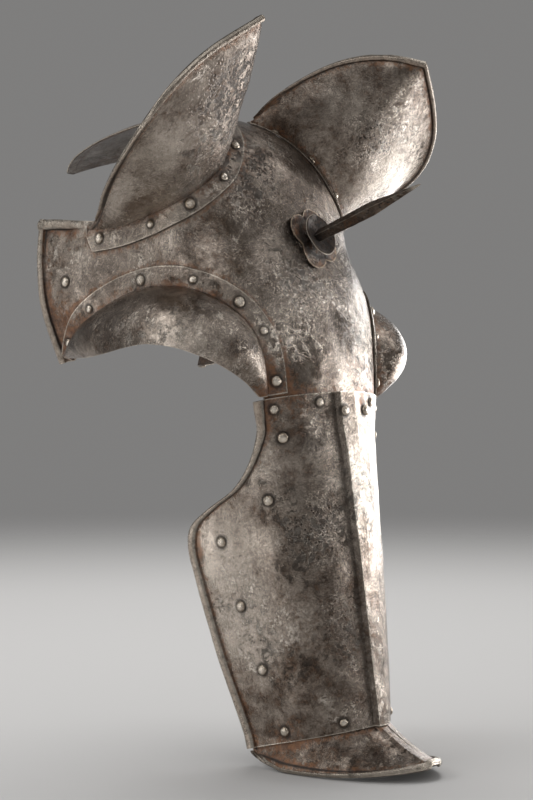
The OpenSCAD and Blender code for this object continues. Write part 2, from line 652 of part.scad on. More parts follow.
// Rosette, cup and spike on one tang through the forehead
crest_turn = 165.5;
crest_at = [0, spine(crest_turn)[0], spine(crest_turn)[1]];
crest_out = outward(skin(spine(crest_turn) + [0.01, 0]));
crest_axis = unit([0, crest_out.y, crest_out.z]);
rosette_t = 1.2;
rosette_ball = 160;
rosette_turn = 65;
rosette_gap = 2.4;
cup_t = 1.4;
cup_deep = 5;
tang_gap = 0.2;
spike_belly = 1.12;
spike_belly_at = 0.55;
spike_point = 0.12;
// The old spike is bent: degrees downward and to the horse's right
spike_droop = 3.5;
spike_lean = 5.1;
root_gap = 1.2;
tang_bite = 1;
washer_h = 1.6;
nut_h = 6;
tang_end = 2;
tang_len = plate_t + 2 * washer_gap + washer_h + nut_h + tang_end;
rosette_top = rosette_gap + rosette_ball - sqrt(pow(rosette_ball, 2) - pow(rosette_r, 2)) + rosette_t;
cup_floor = rosette_top + lap_gap + cup_t;
module on_crest() {
    place(crest_at, crest_axis) rotate([0, 0, 180]) children();
}
module tang_hole() {
    cylinder(r = tang_r + tang_gap, h = 2 * hole_len, center = true, $fn = 48);
}
module rosette() {
    color(steel_pale)
    on_crest()
    difference() {
        intersection() {
            translate([0, 0, -1])
            linear_extrude(height = rosette_top + 2)
            for (k = [0:petals - 1]) rotate(rosette_turn + 360 * k / petals)
                translate([rosette_r / 2, 0]) circle(r = rosette_r / 2, $fn = 64);
            translate([0, 0, rosette_top - rosette_ball]) sphere(r = rosette_ball, $fn = 128);
        }
        translate([0, 0, rosette_top - rosette_ball]) sphere(r = rosette_ball - rosette_t, $fn = 128);
        tang_hole();
    }
}
module rosette_cup() {
    ball = (cup_r * cup_r + cup_deep * cup_deep) / (2 * cup_deep);
    low = rosette_top + lap_gap;
    color(steel)
    on_crest()
    difference() {
        translate([0, 0, low + ball]) sphere(r = ball, $fn = 96);
        translate([0, 0, low + ball]) sphere(r = ball - cup_t, $fn = 96);
        translate([0, 0, low + cup_deep]) cylinder(r = 2 * ball, h = 2 * ball, $fn = 48);
        tang_hole();
    }
}
module spike() {
    root = cup_floor + root_gap;
    half = spike_side / sqrt(2);
    function ring(r, z) = [for (k = [0:3]) [r * cos(90 * k), r * sin(90 * k), z]];
    pts = concat(ring(half, root), ring(half * spike_belly, root + spike_len * spike_belly_at),
        ring(half * spike_point, root + spike_len));
    faces = concat([[0, 1, 2, 3]], [[11, 10, 9, 8]],
        [for (r = [0, 4]) for (k = [0:3]) [r + k, r + k + 4, r + (k + 1) % 4 + 4, r + (k + 1) % 4]]);
    color(steel_dark)
    on_crest() {
        translate([0, 0, root])
            rotate([-spike_lean, -spike_droop, 0])
            translate([0, 0, -root])
            polyhedron(pts, faces);
        translate([0, 0, -tang_len]) cylinder(r = tang_r, h = tang_len + root + tang_bite, $fn = 48);
    }
}
module spike_washer() {
    color(steel)
    on_crest()
    difference() {
        translate([0, 0, -plate_t - washer_gap - washer_h / 2])
            cube([washer_side, washer_side, washer_h], center = true);
        tang_hole();
    }
}
module spike_nut() {
    color(steel_dark)
    on_crest()
    difference() {
        translate([0, 0, -plate_t - 2 * washer_gap - washer_h - nut_h / 2])
            cube([nut_side, nut_side, nut_h], center = true);
        tang_hole();
    }
}

brow_plate();
nose_plate();
nose_brim();
ear_guard();  // left_ear_guard
mirror([1, 0, 0]) ear_guard();  // right_ear_guard
eye_guard();  // left_eye_guard
mirror([1, 0, 0]) eye_guard();  // right_eye_guard
rosette();
rosette_cup();
spike();
spike_washer();
spike_nut();
eye_rivets();  // left_eye_rivets
mirror([1, 0, 0]) eye_rivets();  // right_eye_rivets
ear_rivets();  // left_ear_rivets
mirror([1, 0, 0]) ear_rivets();  // right_ear_rivets
joint_rivets();
brim_rivets();
nose_rivets();  // left_nose_rivets
mirror([1, 0, 0]) nose_rivets();  // right_nose_rivets
wing_rivet();  // left_wing_rivet
mirror([1, 0, 0]) wing_rivet();  // right_wing_rivet
lining_washers();  // left_lining_washers
mirror([1, 0, 0]) lining_washers();  // right_lining_washers
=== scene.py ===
import math
import bpy
import numpy as np
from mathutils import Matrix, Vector


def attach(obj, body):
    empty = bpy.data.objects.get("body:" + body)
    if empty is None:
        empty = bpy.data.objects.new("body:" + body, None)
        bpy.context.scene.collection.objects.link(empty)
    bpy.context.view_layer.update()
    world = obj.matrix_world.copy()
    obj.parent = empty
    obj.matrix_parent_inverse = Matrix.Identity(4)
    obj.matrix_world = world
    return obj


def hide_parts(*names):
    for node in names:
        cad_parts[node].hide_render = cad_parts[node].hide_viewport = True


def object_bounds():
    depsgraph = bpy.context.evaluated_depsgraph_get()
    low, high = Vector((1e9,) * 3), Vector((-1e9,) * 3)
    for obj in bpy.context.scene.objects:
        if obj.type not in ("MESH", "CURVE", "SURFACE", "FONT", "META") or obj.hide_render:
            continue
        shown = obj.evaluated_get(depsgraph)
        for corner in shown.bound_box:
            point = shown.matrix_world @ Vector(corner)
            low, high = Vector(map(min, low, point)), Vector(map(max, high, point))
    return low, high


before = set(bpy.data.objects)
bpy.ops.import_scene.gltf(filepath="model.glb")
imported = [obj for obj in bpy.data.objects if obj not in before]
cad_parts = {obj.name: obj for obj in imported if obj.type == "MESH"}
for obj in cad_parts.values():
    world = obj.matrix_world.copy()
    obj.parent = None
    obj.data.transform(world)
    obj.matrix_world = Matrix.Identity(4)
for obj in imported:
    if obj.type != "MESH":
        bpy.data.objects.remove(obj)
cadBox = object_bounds()
print("frame loaded with", len(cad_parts), "nodes")

# All shapes are worked out in millimetres, as arrays whose last axis is x, y, z, and become metres in makeMesh
toMetres = 0.001
gapUnit = 20  # farthest way to an edge, crease or rivet that the finishes know


def ease(t):  # 3 t^2 - 2 t^3 for t from 0 to 1, flat outside
    c = np.clip(t, 0, 1)
    return c * c * (3 - 2 * c)


def between(a, b, t):
    return a + (b - a) * t


def bump(t):  # bell: exp(-t^2)
    return np.exp(-np.asarray(t, float) ** 2)


def through(stations, u):
    # Smooth curve through evenly spaced stations: a cubic whose slope at each station is half the step
    # from the station before it to the one after it
    s = np.asarray(stations, float)
    n = len(s) - 1
    padded = np.concatenate([[2 * s[0] - s[1]], s, [2 * s[-1] - s[-2]]])
    w = np.clip(u, 0, 1) * n
    i = np.minimum(np.floor(w).astype(int), n - 1)
    t = (w - i)[..., None] if s.ndim > 1 else w - i
    a, b, c, d = (padded[i + k] for k in range(4))
    return (2 * b + (c - a) * t + (2 * a - 5 * b + 4 * c - d) * t ** 2 + (3 * b - a - 3 * c + d) * t ** 3) / 2


def unit(v):
    return v / np.maximum(np.linalg.norm(v, axis=-1, keepdims=True), 1e-9)


def joined(parts, axis=0):
    return np.concatenate(parts, axis)


def axes(*parts):  # the parts, spread to one shape, side by side on a new last axis
    return np.stack(np.broadcast_arrays(*parts), -1)


def polar(r, a, z):
    return axes(r * np.cos(a), r * np.sin(a), z)


def lengthOf(v):
    return np.linalg.norm(v, axis=-1)


def oval(t):  # quarter ellipse: sqrt(1 - (1 - t)^2) for t from 0 to 1
    return np.sqrt(1 - (1 - np.clip(t, 0, 1)) ** 2)


def rollHeight(d, r):  # half circle: height sqrt(r^2 - (d - r)^2) at a distance d from the edge
    return np.sqrt(np.maximum(r * r - (d - r) ** 2, 0)) * (d < 2 * r)


# Form of the head: a centre line in the side view, and an elliptic section from it to the flat cheeks
headForm = {
    "middle": (70, 110),
    "reach": [217, 188, 170.5, 159.5, 152.5, 149, 145, 137, 127, 123, 133, 151, 182, 226],
    "reachFrom": 30, "reachSpan": 195,
    "pollRound": 160, "browRound": 66, "pollReach": 90, "pollTurn": 72, "browTurn": 110,
    "bridgeWidth": 79, "cheekWidth": 117, "widenFrom": -30, "widenTo": 100,
    "plate": 1.8, "lapGap": 0.45, "rollRadius": 3.6,
}
plateT, lapGap, rollR = headForm["plate"], headForm["lapGap"], headForm["rollRadius"]
lap = plateT + lapGap
midY, midZ = headForm["middle"]


def turnOf(y, z):  # angle about the middle, from -60 to 300 degrees
    a = np.degrees(np.arctan2(z - midZ, y - midY))
    return np.where(a < -60, a + 360, a)


def reachAt(turn):
    return through(headForm["reach"], (turn - headForm["reachFrom"]) / headForm["reachSpan"])


def browShare(turn):  # 0 at the poll, 1 from the forehead on
    return ease((turn - headForm["pollTurn"]) / (headForm["browTurn"] - headForm["pollTurn"]))


def roundAt(turn):
    return between(headForm["pollRound"], headForm["browRound"], browShare(turn))


def onRay(turn, r):  # side-view place: middle plus r times (cos, sin)
    a = np.radians(turn)
    return axes(midY + r * np.cos(a), midZ + r * np.sin(a))


def spineAt(turn):
    return onRay(turn, reachAt(turn))


def halfWidth(z):
    f = headForm
    return between(f["bridgeWidth"], f["cheekWidth"], ease((z - f["widenFrom"]) / (f["widenTo"] - f["widenFrom"])))


def depthAt(y, z):  # share of the way from the centre line to the flat cheek, at most 1
    turn = turnOf(y, z)
    d = reachAt(turn) - np.hypot(y - midY, z - midZ)
    flat = 1 - browShare(turn)
    return np.minimum(d / roundAt(turn) * (1 + flat * (np.maximum(d, 0) / headForm["pollReach"]) ** 2), 1)


def skinWidth(y, z):
    return halfWidth(z) * oval(depthAt(y, z))


def onSkin(q, width=skinWidth):  # side-view places brought out to the skin, or to a plate's own half width
    y, z = q[..., 0], q[..., 1]
    return axes(width(y, z), y, z)


def levelAt(p):  # 1 on the skin, growing outward: (x / half width)^2 + (1 - depth)^2
    t = depthAt(p[..., 1], p[..., 2])
    return (p[..., 0] / halfWidth(p[..., 2])) ** 2 + (1 - t) ** 2


def slopeAt(p, h=0.5):
    return axes(*(levelAt(p + s) - levelAt(p - s) for s in np.eye(3) * h)) / (2 * h)


def outwardAt(p):
    return unit(slopeAt(p))


def settle(p, passes=3):  # each pass moves p along the slope by (level - 1) / slope
    for _ in range(passes):
        g = slopeAt(p)
        p = p - g * ((levelAt(p) - 1) / (g * g).sum(-1))[..., None]
    return p


def spotOfWidth(turn, x):  # side-view place on the ray at this turn where the skin is x wide
    return onRay(turn, reachAt(turn) - roundAt(turn) * (1 - np.sqrt(1 - (x / headForm["cheekWidth"]) ** 2)))


# Arch round the eye in the side view, f runs from 0 at the front foot to 1 behind
eyeArch = {"middle": (25, 20), "front": 86, "rear": 125, "high": 76, "foot": 4, "footShare": 0.12, "turn": 164,
           "frontPower": 0.8, "rearPower": 1.18}
archPeak = eyeArch["footShare"] + (1 - eyeArch["footShare"]) * 90 / eyeArch["turn"]


def archAt(f, trim=0, foot=None):
    # A straight upright foot, then an oval of cos and sin, each to one power in the front half and another behind
    e = eyeArch
    low = e["foot"] if foot is None else foot
    f = np.asarray(f, float)
    a = np.radians(e["turn"] * (f - e["footShare"]) / (1 - e["footShare"]))
    c, s = np.cos(a), np.maximum(np.sin(a), 0)
    front = c > 0
    power = np.where(front, e["frontPower"], e["rearPower"])
    y = e["middle"][0] + np.where(front, trim - e["front"], e["rear"] - trim) * np.abs(c) ** power
    z = e["middle"][1] + (e["high"] - trim) * s ** power
    onFoot = f < e["footShare"]
    y = np.where(onFoot, e["middle"][0] - e["front"] + trim, y)
    z = np.where(onFoot, between(low, e["middle"][1], f / e["footShare"]), z)
    return axes(y, z)


def unevenness(p, size, seed):
    # Sum of 26 sine waves in seeded random directions, wave lengths about the given size; peaks near 1
    rng = np.random.default_rng(seed)
    ways = unit(rng.normal(size=(26, 3))) * (2 * np.pi / size) * rng.uniform(0.6, 1.7, (26, 1))
    return np.sin(p @ ways.T + rng.uniform(0, 6.28, 26)).sum(-1) / 9


def nearest(points, targets):
    # Distance from each point to the nearest target, 4000 points at a time to spare memory
    flat, block = points.reshape(-1, 3), 4000
    found = [np.sqrt(((flat[i:i + block, None] - targets[None]) ** 2).sum(-1).min(1))
             for i in range(0, len(flat), block)]
    return joined(found).reshape(points.shape[:-1])


hammer = {"waves": [(0.5, 74, 5), (0.22, 27, 8)], "fade": 14}  # each wave: height, length, seed


def liftAt(p):
    # One field for all plates and rivets, so that laps keep their gap; it fades towards a plate's edge
    lift = sum(height * unevenness(p, size, seed) for height, size, seed in hammer["waves"])
    return lift * ease(nearest(p, plateEdges) / hammer["fade"])


def hammered(p, normals):
    return p + normals * liftAt(p)[..., None]


def gridNormals(g):
    # Unit cross product of the slopes along rows and columns
    return unit(np.cross(np.gradient(g, axis=0), np.gradient(g, axis=1)))


def softened(g, passes):  # each pass takes a quarter, a half and a quarter of three neighbours in a row
    for _ in range(passes):
        g = joined([g[:, :1], (g[:, :-2] + 2 * g[:, 1:-1] + g[:, 2:]) / 4, g[:, -1:]], 1)
    return g


def quadsOf(index):
    return np.stack([index[:-1, :-1], index[1:, :-1], index[1:, 1:], index[:-1, 1:]], -1).reshape(-1, 4)


def makeMesh(name, points, quads, layers=None, sharp=38):
    # Points of a piece are kept inside the CAD model's box
    if layers:
        points = np.clip(points, *(np.array(corner) / toMetres for corner in cadBox))
    mesh = bpy.data.meshes.new(name)
    mesh.vertices.add(len(points))
    mesh.vertices.foreach_set("co", (points * toMetres).astype(np.float32).ravel())
    mesh.loops.add(quads.size)
    mesh.loops.foreach_set("vertex_index", quads.astype(np.int32).ravel())
    mesh.polygons.add(len(quads))
    mesh.polygons.foreach_set("loop_start", np.arange(0, quads.size, 4, dtype=np.int32))
    mesh.update(calc_edges=True)
    mesh.validate()
    for label, values in (layers or {}).items():
        layer = mesh.attributes.new(label, "FLOAT_COLOR", "POINT")
        full = joined([values, np.ones((len(values), 1))], 1)
        layer.data.foreach_set("color", full.astype(np.float32).ravel())
    mesh.shade_smooth()
    mesh.set_sharp_from_angle(angle=math.radians(sharp))
    piece = bpy.data.objects.new(name, mesh)
    bpy.context.scene.collection.objects.link(piece)
    return piece


def freeEdges(quads, n):
    # Start and end of each quad edge that no other quad shares, for a sheet of n points
    start, end = quads.ravel(), np.roll(quads, -1, 1).ravel()
    free = ~np.isin(start.astype(np.int64) * n + end, end.astype(np.int64) * n + start)
    return start[free], end[free]


def thickPiece(name, outer, inner, quads, layers, bevel=0.5):
    # Outer side, inner side with its faces turned round, and along every free edge a narrow bevel and the edge
    # itself. The bevel runs from the outer side, moved in by its width, to as far below the old edge
    n = len(outer)
    a, b, c, d = (outer[quads[:, k]] for k in range(4))
    away = outer[quads].mean(1) - inner[quads].mean(1)
    if (np.cross(c - a, d - b) * away).sum() < 0:
        quads = quads[:, ::-1]
    s, e = freeEdges(quads, n)
    depth = unit(inner - outer)
    inward = np.zeros_like(outer)
    side = np.cross(outer[e] - outer[s], depth[s])
    np.add.at(inward, s, side)
    np.add.at(inward, e, side)
    rimOf = np.zeros(n, int)
    rim = np.unique(s)
    rimOf[rim] = np.arange(len(rim)) + 2 * n
    top = outer + np.where(np.linalg.norm(inward, axis=-1, keepdims=True) > 0, unit(inward) * -bevel, 0)
    corner = outer[rim] + depth[rim] * bevel
    strips = [np.stack([e, s, rimOf[s], rimOf[e]], -1), np.stack([rimOf[e], rimOf[s], s + n, e + n], -1)]
    full = {}
    # The inner side gets painted shade and dirt and no edge wear; the bevel's corner gets painted highlight and wear
    for label, values in layers.items():
        inside, bright = values.copy(), values[rim].copy()
        if label == "gaps":
            inside[:, 0] = 1
        if label == "marks":
            inside[:, :2] = [0, 0.75]
            bright[:, 0] = 0.9
        full[label] = joined([values, inside, bright])
    return makeMesh(name, joined([top, inner, corner]),
                    joined([quads, quads[:, ::-1] + n] + strips), full)


def flipX(p):
    return p * np.array([-1, 1, 1])


# Patches of heavier pitting, rust, painted shade, and pale polish with painted highlight, each as x, y, z, radius and
# strength
patches = {
    "pits": [(-112, -48, 262, 34, 1), (-60, -24, 205, 34, 0.8), (-30, -60, 96, 26, 0.6), (-48, -95, -110, 34, 0.7),
             (-30, -96, -190, 26, 0.5), (104, -40, 250, 30, 0.5), (60, -20, 30, 30, 0.4), (96, 60, 110, 30, 0.4)],
    "rust": [(-80, -60, 6, 26, 1), (-70, -85, 2, 22, 0.9), (-117, 150, 60, 34, 1), (-117, 160, 20, 24, 1),
             (0, -49, 141, 36, 0.6), (-95, 128, 150, 24, 0.8), (-44, -62, -285, 20, 0.9), (-117, 163, 90, 16, 0.8),
             # The last rust patch, at the poll behind the near ear, darkens a shaded place: painted shade
             (70, -70, 4, 26, 0.8), (110, 150, 60, 30, 0.7), (-64, 20, -130, 14, 0.6), (-30, 158, 247, 34, 0.6)],
    # These patches darken shaded places: painted shade
    "paintedShade": [(-30, 162, 247, 34, 0.65), (0, 175, 240, 36, 0.5), (110, 145, 0, 26, 0.6)],
    # These lighten the steel: painted highlight at the near ear's foot and the nose plate's left side, pale polish
    # elsewhere
    "polishAndPaintedLight": [(-72, 0, -140, 44, 1), (-68, -20, -190, 44, 0.8), (-80, -50, -60, 26, 0.5), (0, -92, -60, 60, 0.5),
             (-60, -55, 60, 34, 0.6), (-150, -30, 40, 30, 0.8), (-30, -30, 120, 34, 0.6), (-110, 110, 130, 30, 0.4),
             (-108, 40, 200, 34, 0.8), (150, -30, 220, 40, 0.6), (72, 0, -140, 44, 0.8), (60, -55, 60, 34, 0.5),
             (150, -30, 40, 30, 0.7), (-143, 19, 164, 34, 1.4), (-165, -20, 200, 30, 0.9), (80, -40, 273, 26, 0.5)],
}


def patchSum(p, spots):  # largest bell of distance / radius, times its strength
    return np.max([strength * bump(lengthOf(p - centre) / radius) for *centre, radius, strength in spots], 0)


def layersFor(p, edgeGap, crease, rivets, worn, dirtAndShade, bead):
    # Gaps are ways to the nearest edge, crease and rivet head as shares of the farthest way that counts; marks are
    # shares of bare worn metal with painted highlight, dirt with painted shade, and rust; zones are shares of
    # pitting, pale polish with painted highlight, and rolled bead
    ring = np.full(p.shape[:-1], gapUnit)
    for spot, _, head in zip(*rivets):
        ring = np.minimum(ring, np.maximum(lengthOf(p - spot) - head, 0))
    layers = {"gaps": [edgeGap / gapUnit, crease / gapUnit, ring / gapUnit],
              "marks": [worn, np.maximum(dirtAndShade, patchSum(p, patches["paintedShade"])), patchSum(p, patches["rust"])],
              "zones": [patchSum(p, patches["pits"]), patchSum(p, patches["polishAndPaintedLight"]), bead]}
    return {label: np.clip(axes(*values), 0, 1).reshape(-1, 3) for label, values in layers.items()}


# Sizes of the rivets
rivetForm = {"big": 4.6, "small": 3.5, "shank": 1.8, "headGap": 0.4, "innerGap": 0.9, "domeRise": 0.55,
             "innerHead": 0.7, "innerRise": 0.4, "washer": 1.0, "washerGap": 0.8}


def headRadius(size):
    return between(rivetForm["small"], rivetForm["big"], size)


# Brow plate
browForm = {
    "archLines": 84, "seamLines": 44, "notchLines": 18, "crownLines": 120, "across": 68, "wingLines": 62,
    "archTurnFoot": 217.5, "archTurnTop": 174, "seamTurn": 149, "noseTopSide": -2, "noseLap": 16,
    "notch": [[144.5, 10, 171.5], [140, -1, 181], [134.5, -7, 193]],
    "crown": [[128, 76], [120, 58], [110, 44], [100, 34], [90, 31], [80, 34], [70, 38],
              [60, 41], [51, 38], [43, 29], [37, 16], [33, 4]],
    "wingTop": [[25, 165.5], [50, 160.5], [75, 158], [100, 157.5], [125, 159.5], [148, 162], [168, 163]],
    "wingRear": [[163, 34], [164.5, 52], [167.5, 78], [170.5, 106], [171.5, 133], [168, 163]],
    "wingLength": 140, "wingRise": 115, "topRollFrom": 112, "topRollIn": 8,
    "rollLineFrom": 100, "rollLineIn": 30,
}
footZ = browForm["noseTopSide"] - browForm["noseLap"] + 4
archTrim = 2  # the plate's arch lies this far inside the eye guard's root line
rollTurns = np.linspace(np.pi, 0, 11)
rollSpots = 1 - np.cos(rollTurns)  # distances from the edge in roll radii, from 2 to 0


def rolledShares(lines, length, r=rollR):
    # Shares of a way of this length: even lines as far as the rolled edge, then the roll's own lines
    return joined([np.linspace(0, 1 - 2 * r / length, lines), 1 - rollSpots[1:] * r / length])


def browLines():
    # Turn of the centre line and side-view place of the side edge, for every line across the plate
    f = browForm
    u = np.linspace(0, 1, f["archLines"] + 1)
    turns = [between(f["archTurnFoot"], f["archTurnTop"], u ** 0.85)]
    places = [archAt(archPeak * u, archTrim, footZ)]
    peak = np.array([eyeArch["middle"][0], eyeArch["middle"][1] + eyeArch["high"] - archTrim])
    v = rolledShares(f["seamLines"], f["wingRise"])
    turns.append(between(f["archTurnTop"], f["seamTurn"], v[1:]))
    places.append(between(peak, f["wingTop"][0], v[1:, None]))
    first = [f["crown"][0][0], *spotOfWidth(*f["crown"][0])]
    notch = through([[f["seamTurn"], *f["wingTop"][0]], *f["notch"], first],
                    np.linspace(0, 1, f["notchLines"] + 1)[1:-1])
    crown = through(f["crown"], np.linspace(0, 1, f["crownLines"] + 1))
    turns += [notch[:, 0], crown[:, 0]]
    places += [notch[:, 1:], spotOfWidth(*crown.T)]
    return joined(turns), joined(places), v


def wingAt(u, v):
    # Wing patch in the side view: a blend of its four edges, u runs rearward and v upward
    f = browForm
    a, b = archAt(archPeak, archTrim, footZ), np.array(f["wingRear"][0])
    c, d = np.array(f["wingTop"])[[0, -1]]
    onArch = 0.88  # share of the lower edge that lies on the arch
    low = np.where((u < onArch)[..., None],
                   archAt(between(archPeak, 1, np.minimum(u / onArch, 1)), archTrim, footZ),
                   between(archAt(1, archTrim), b, ((u - onArch) / (1 - onArch))[..., None]))
    across, upward = u[..., None], v[..., None]
    return (between(low, through(f["wingTop"], u), upward)
            + between(between(a, c, upward), through(f["wingRear"], v), across)
            - between(between(a, b, across), between(c, d, across), upward))


def browSheet():
    turns, places, v = browLines()
    f = browForm
    j = np.linspace(-1, 1, 2 * f["across"] + 1)
    share = np.abs(j) ** 2 * (2 - np.abs(j))
    spot = between(spineAt(turns)[:, None], places[:, None], share[None, :, None])
    rows = onSkin(spot, lambda y, z: np.sign(j) * skinWidth(y, z))
    index = np.arange(rows.shape[0] * rows.shape[1]).reshape(rows.shape[:2])
    first, nv = f["archLines"], len(v)
    vv, uu = np.meshgrid(v, rolledShares(f["wingLines"], f["wingLength"])[1:], indexing="ij")
    q = wingAt(uu, vv)
    wing = onSkin(q)
    onTop = ease((q[..., 0] - f["topRollFrom"]) / f["topRollIn"])
    roll = np.maximum(rollHeight((1 - uu) * f["wingLength"], rollR),
                      rollHeight((1 - vv) * f["wingRise"], rollR) * onTop)
    base, count = rows[..., 0].size, wing[..., 0].size
    left = base + np.arange(count).reshape(wing.shape[:2])
    leftWing = joined([index[first:first + nv, -1:], left], 1)
    rightWing = joined([index[first:first + nv, :1], left + count], 1)[:, ::-1]
    quads = joined([quadsOf(index), quadsOf(leftWing), quadsOf(rightWing)])
    points = joined([rows.reshape(-1, 3), wing.reshape(-1, 3), flipX(wing).reshape(-1, 3)])
    rolls = joined([np.zeros(base), roll.ravel(), roll.ravel()])
    return points, quads, rolls


# Nose plate
noseForm = {
    "lines": 240, "plateCols": 76, "bandCols": 18,
    "top": 7, "foot": -277, "frontTurn": 215, "lean": 0.112,
    "widths": [88, 77, 72.5, 70, 65, 59, 50], "widthTop": 10, "widthStep": 50,
    "rear": [[-52, -2], [-50, -30], [-40, -54], [-21, -77], [8, -95], [28, -111],
             [31.5, -130], [26, -153], [20, -176], [13, -200], [6, -224], [-2, -248], [-10, -274], [-18, -303]],
    "bandHigh": 4.5, "bandTop": 19, "bandFoot": 7, "bandRun": 280, "bandEdge": 1.6, "round": 54, "bias": 1.7,
    "lapFrom": -45, "lapIn": 30,
}
lapReach, lapSide = 1.2 * lap, 1.1 * lap


def lapShare(z):  # 1 where the nose plate follows the brow plate, 0 where it has its own form
    return ease((z - noseForm["lapFrom"]) / noseForm["lapIn"])


def noseHalf(z):
    f = noseForm
    own = through(f["widths"], (f["widthTop"] - z) / (f["widthStep"] * (len(f["widths"]) - 1)))
    return between(own, halfWidth(z) + lapSide, lapShare(z))


def noseFront(z):
    return spineAt(noseForm["frontTurn"])[0] - lapSide + noseForm["lean"] * z


def noseDepth(y, z):
    r = reachAt(turnOf(y, z)) + lapReach - np.hypot(y - midY, z - midZ)
    return between((y - noseFront(z)) / noseForm["round"], r / (headForm["browRound"] + lapReach), lapShare(z))


def noseX(y, z):
    return noseHalf(z) * oval(noseDepth(y, z))


def noseAt(q):
    return onSkin(q, noseX)


def noseNormal(q, h=0.5):
    y, z = np.array([h, 0]), np.array([0, h])
    return unit(np.cross(noseAt(q + y) - noseAt(q - y), noseAt(q + z) - noseAt(q - z)))


def bandHalf(z):
    f = noseForm
    return between(f["bandTop"], f["bandFoot"], np.clip(-z / f["bandRun"], 0, 1) ** 0.8)


def wideAt(a, b, x):
    # Share of the way from a to b at which the plate is x wide, by halving 20 times
    lo, hi = np.zeros(len(a)), np.ones(len(a))
    for _ in range(20):
        m = (lo + hi) / 2
        q = between(a, b, m[:, None])
        narrow = noseX(q[:, 0], q[:, 1]) < x
        lo, hi = np.where(narrow, m, lo), np.where(narrow, hi, m)
    return (lo + hi) / 2


def noseHalfLines(v, plateSpots=None, rollPart=rollSpots):
    # Half lines across the nose plate: raised band, its step, the plate and the rolled edge
    f = noseForm
    z = between(f["top"], f["foot"], v)
    a = axes(noseFront(z), z)
    b = through(f["rear"], v)
    w = bandHalf(z)
    s0 = wideAt(a, b, w + f["bandEdge"]) ** (1 / f["bias"])
    edgeY = between(a[:, 0], b[:, 0], wideAt(a, b, w))
    length = (b[:, 0] - a[:, 0]) * 1.15
    last = 1 - 2 * rollR / length
    share = np.linspace(0, 1, f["plateCols"]) if plateSpots is None else plateSpots
    t = joined([last[:, None] * share[None], 1 - rollPart[None, 1:] * rollR / length[:, None]], 1)
    q = between(a[:, None], b[:, None], (between(s0[:, None], 1, t) ** f["bias"])[..., None])
    plate = noseAt(q)
    frac = np.linspace(0, 1, f["bandCols"])
    bandX = w[:, None] * frac * (1 - 0.8 / w[:, None])
    bandY = between(a[:, 0, None], edgeY[:, None], bandX / w[:, None]) - f["bandHigh"]
    foot = plate[:, 0]
    cornerX, cornerY = w, edgeY - f["bandHigh"] + 0.35
    riser = [axes(between(cornerX, foot[:, 0], part) + out, between(cornerY, foot[:, 1], part), z)
             for part, out in ((0, 0), (0.4, 0), (0.8, -0.05))]
    line = joined([axes(bandX, bandY, z[:, None]), np.stack(riser, 1), plate], 1)
    rolls = np.zeros(line.shape[:2])
    rolls[:, -len(rollPart) + 1:] = rollHeight(rollPart[1:] * rollR, rollR)
    return line, rolls


def bothSides(line):
    return joined([flipX(line[:, :0:-1]), line], 1)


# Guards: stations of their root lines and edges, and the places of their rivets
eyeForm = {
    "lines": 260, "flange": 18, "swell": 13,
    "edge": [[87, -60, 4], [112, -62, 18], [138, -55, 31], [154, -44, 38], [161, -26, 43.5],
             [162, 0, 46], [158, 28, 43.5], [149, 58, 40], [136, 92, 38], [119, 128, 39]],
    "rivets": [[2.6, 1], [7.5, 0], [11, 1], [15.9, 0], [21.2, 1], [26.5, 0], [30.4, 0.6]],
}
earForm = {
    "lines": 260, "flange": 16, "swell": 12, "roll": 2.8, "foldPasses": 360, "foldKeep": 30,
    "root": [[109, 151.5], [97, 152], [78, 153], [60, 155], [43, 158], [27, 161.5], [12, 166.5],
             [1, 173.5], [-6, 182], [-10, 191], [-11, 201]],
    "crown": [[126, 67], [120, 56], [114, 48], [109, 42], [104, 36], [99, 31]],
    "rim": [[117.6, 107, 154], [124, 90, 156.5], [147, 63, 166], [172, 34, 179], [190, 2, 198],
            [199, -34, 226], [190, -56, 254], [165, -72, 282], [122.5, -90, 312.5]],
    "rimInner": [[122.5, -90, 312.5], [108, -77, 316], [97, -63, 318], [85, -49, 317], [73, -34, 313],
                 [62, -18, 306], [51, -4, 297], [40, 13, 284], [32.5, 42, 258]],
    "rise": [0, 0.5, 0.85, 1, 1, 0.85, 0.6, 0.35, 0.25, 0.25, 0.3, 0.4, 0.5, 0.5, 0.4, 0.2, 0],
    "rivets": [[2.4, 1], [9, 0], [13.8, 1], [18.9, 0], [23, 0.4], [27.8, 0]],
}
rivetSteps = 32  # rivet places count along the root line in this many steps
flangeSpots = [1, 0.95, 0.88, 0.76, 0.64, 0.52, 0.40, 0.28, 0.16, 0.07, 0]


def eyeSide(f):
    return settle(onSkin(archAt(f)))


def eyeFlangeWidth(f):
    return eyeForm["flange"] * (1 - 0.3 * ease((f - 0.86) / 0.14))


def earSide(s):
    return settle(onSkin(through(joined([earForm["root"], spotOfWidth(*np.transpose(earForm["crown"]))]), s)))


def earFlangeWidth(s):
    return earForm["flange"] * between(1.3, 1, ease(s * 2)) * ease(np.minimum(s, 1 - s) * 14 + 0.4)


def flangeAt(side, along, e, width):
    # A place on the skin beside the root line: e times the width along the skin, square to the line
    return settle(side + unit(np.cross(outwardAt(side), along)) * (e * width)[..., None])


def flangeRivets(form, sideAt, widthAt):
    steps, sizes = np.transpose(form["rivets"])
    k, h = steps / rivetSteps, 0.5 / rivetSteps
    along = unit(sideAt(k + h) - sideAt(k - h))
    p = flangeAt(sideAt(k), along, np.full(len(k), 0.5), widthAt(k))
    n = outwardAt(p)
    return p + n * lap, n, headRadius(sizes)


def noseRivets(places, sizes):
    q = np.array(places, float)
    return noseAt(q), noseNormal(q), headRadius(np.array(sizes, float))


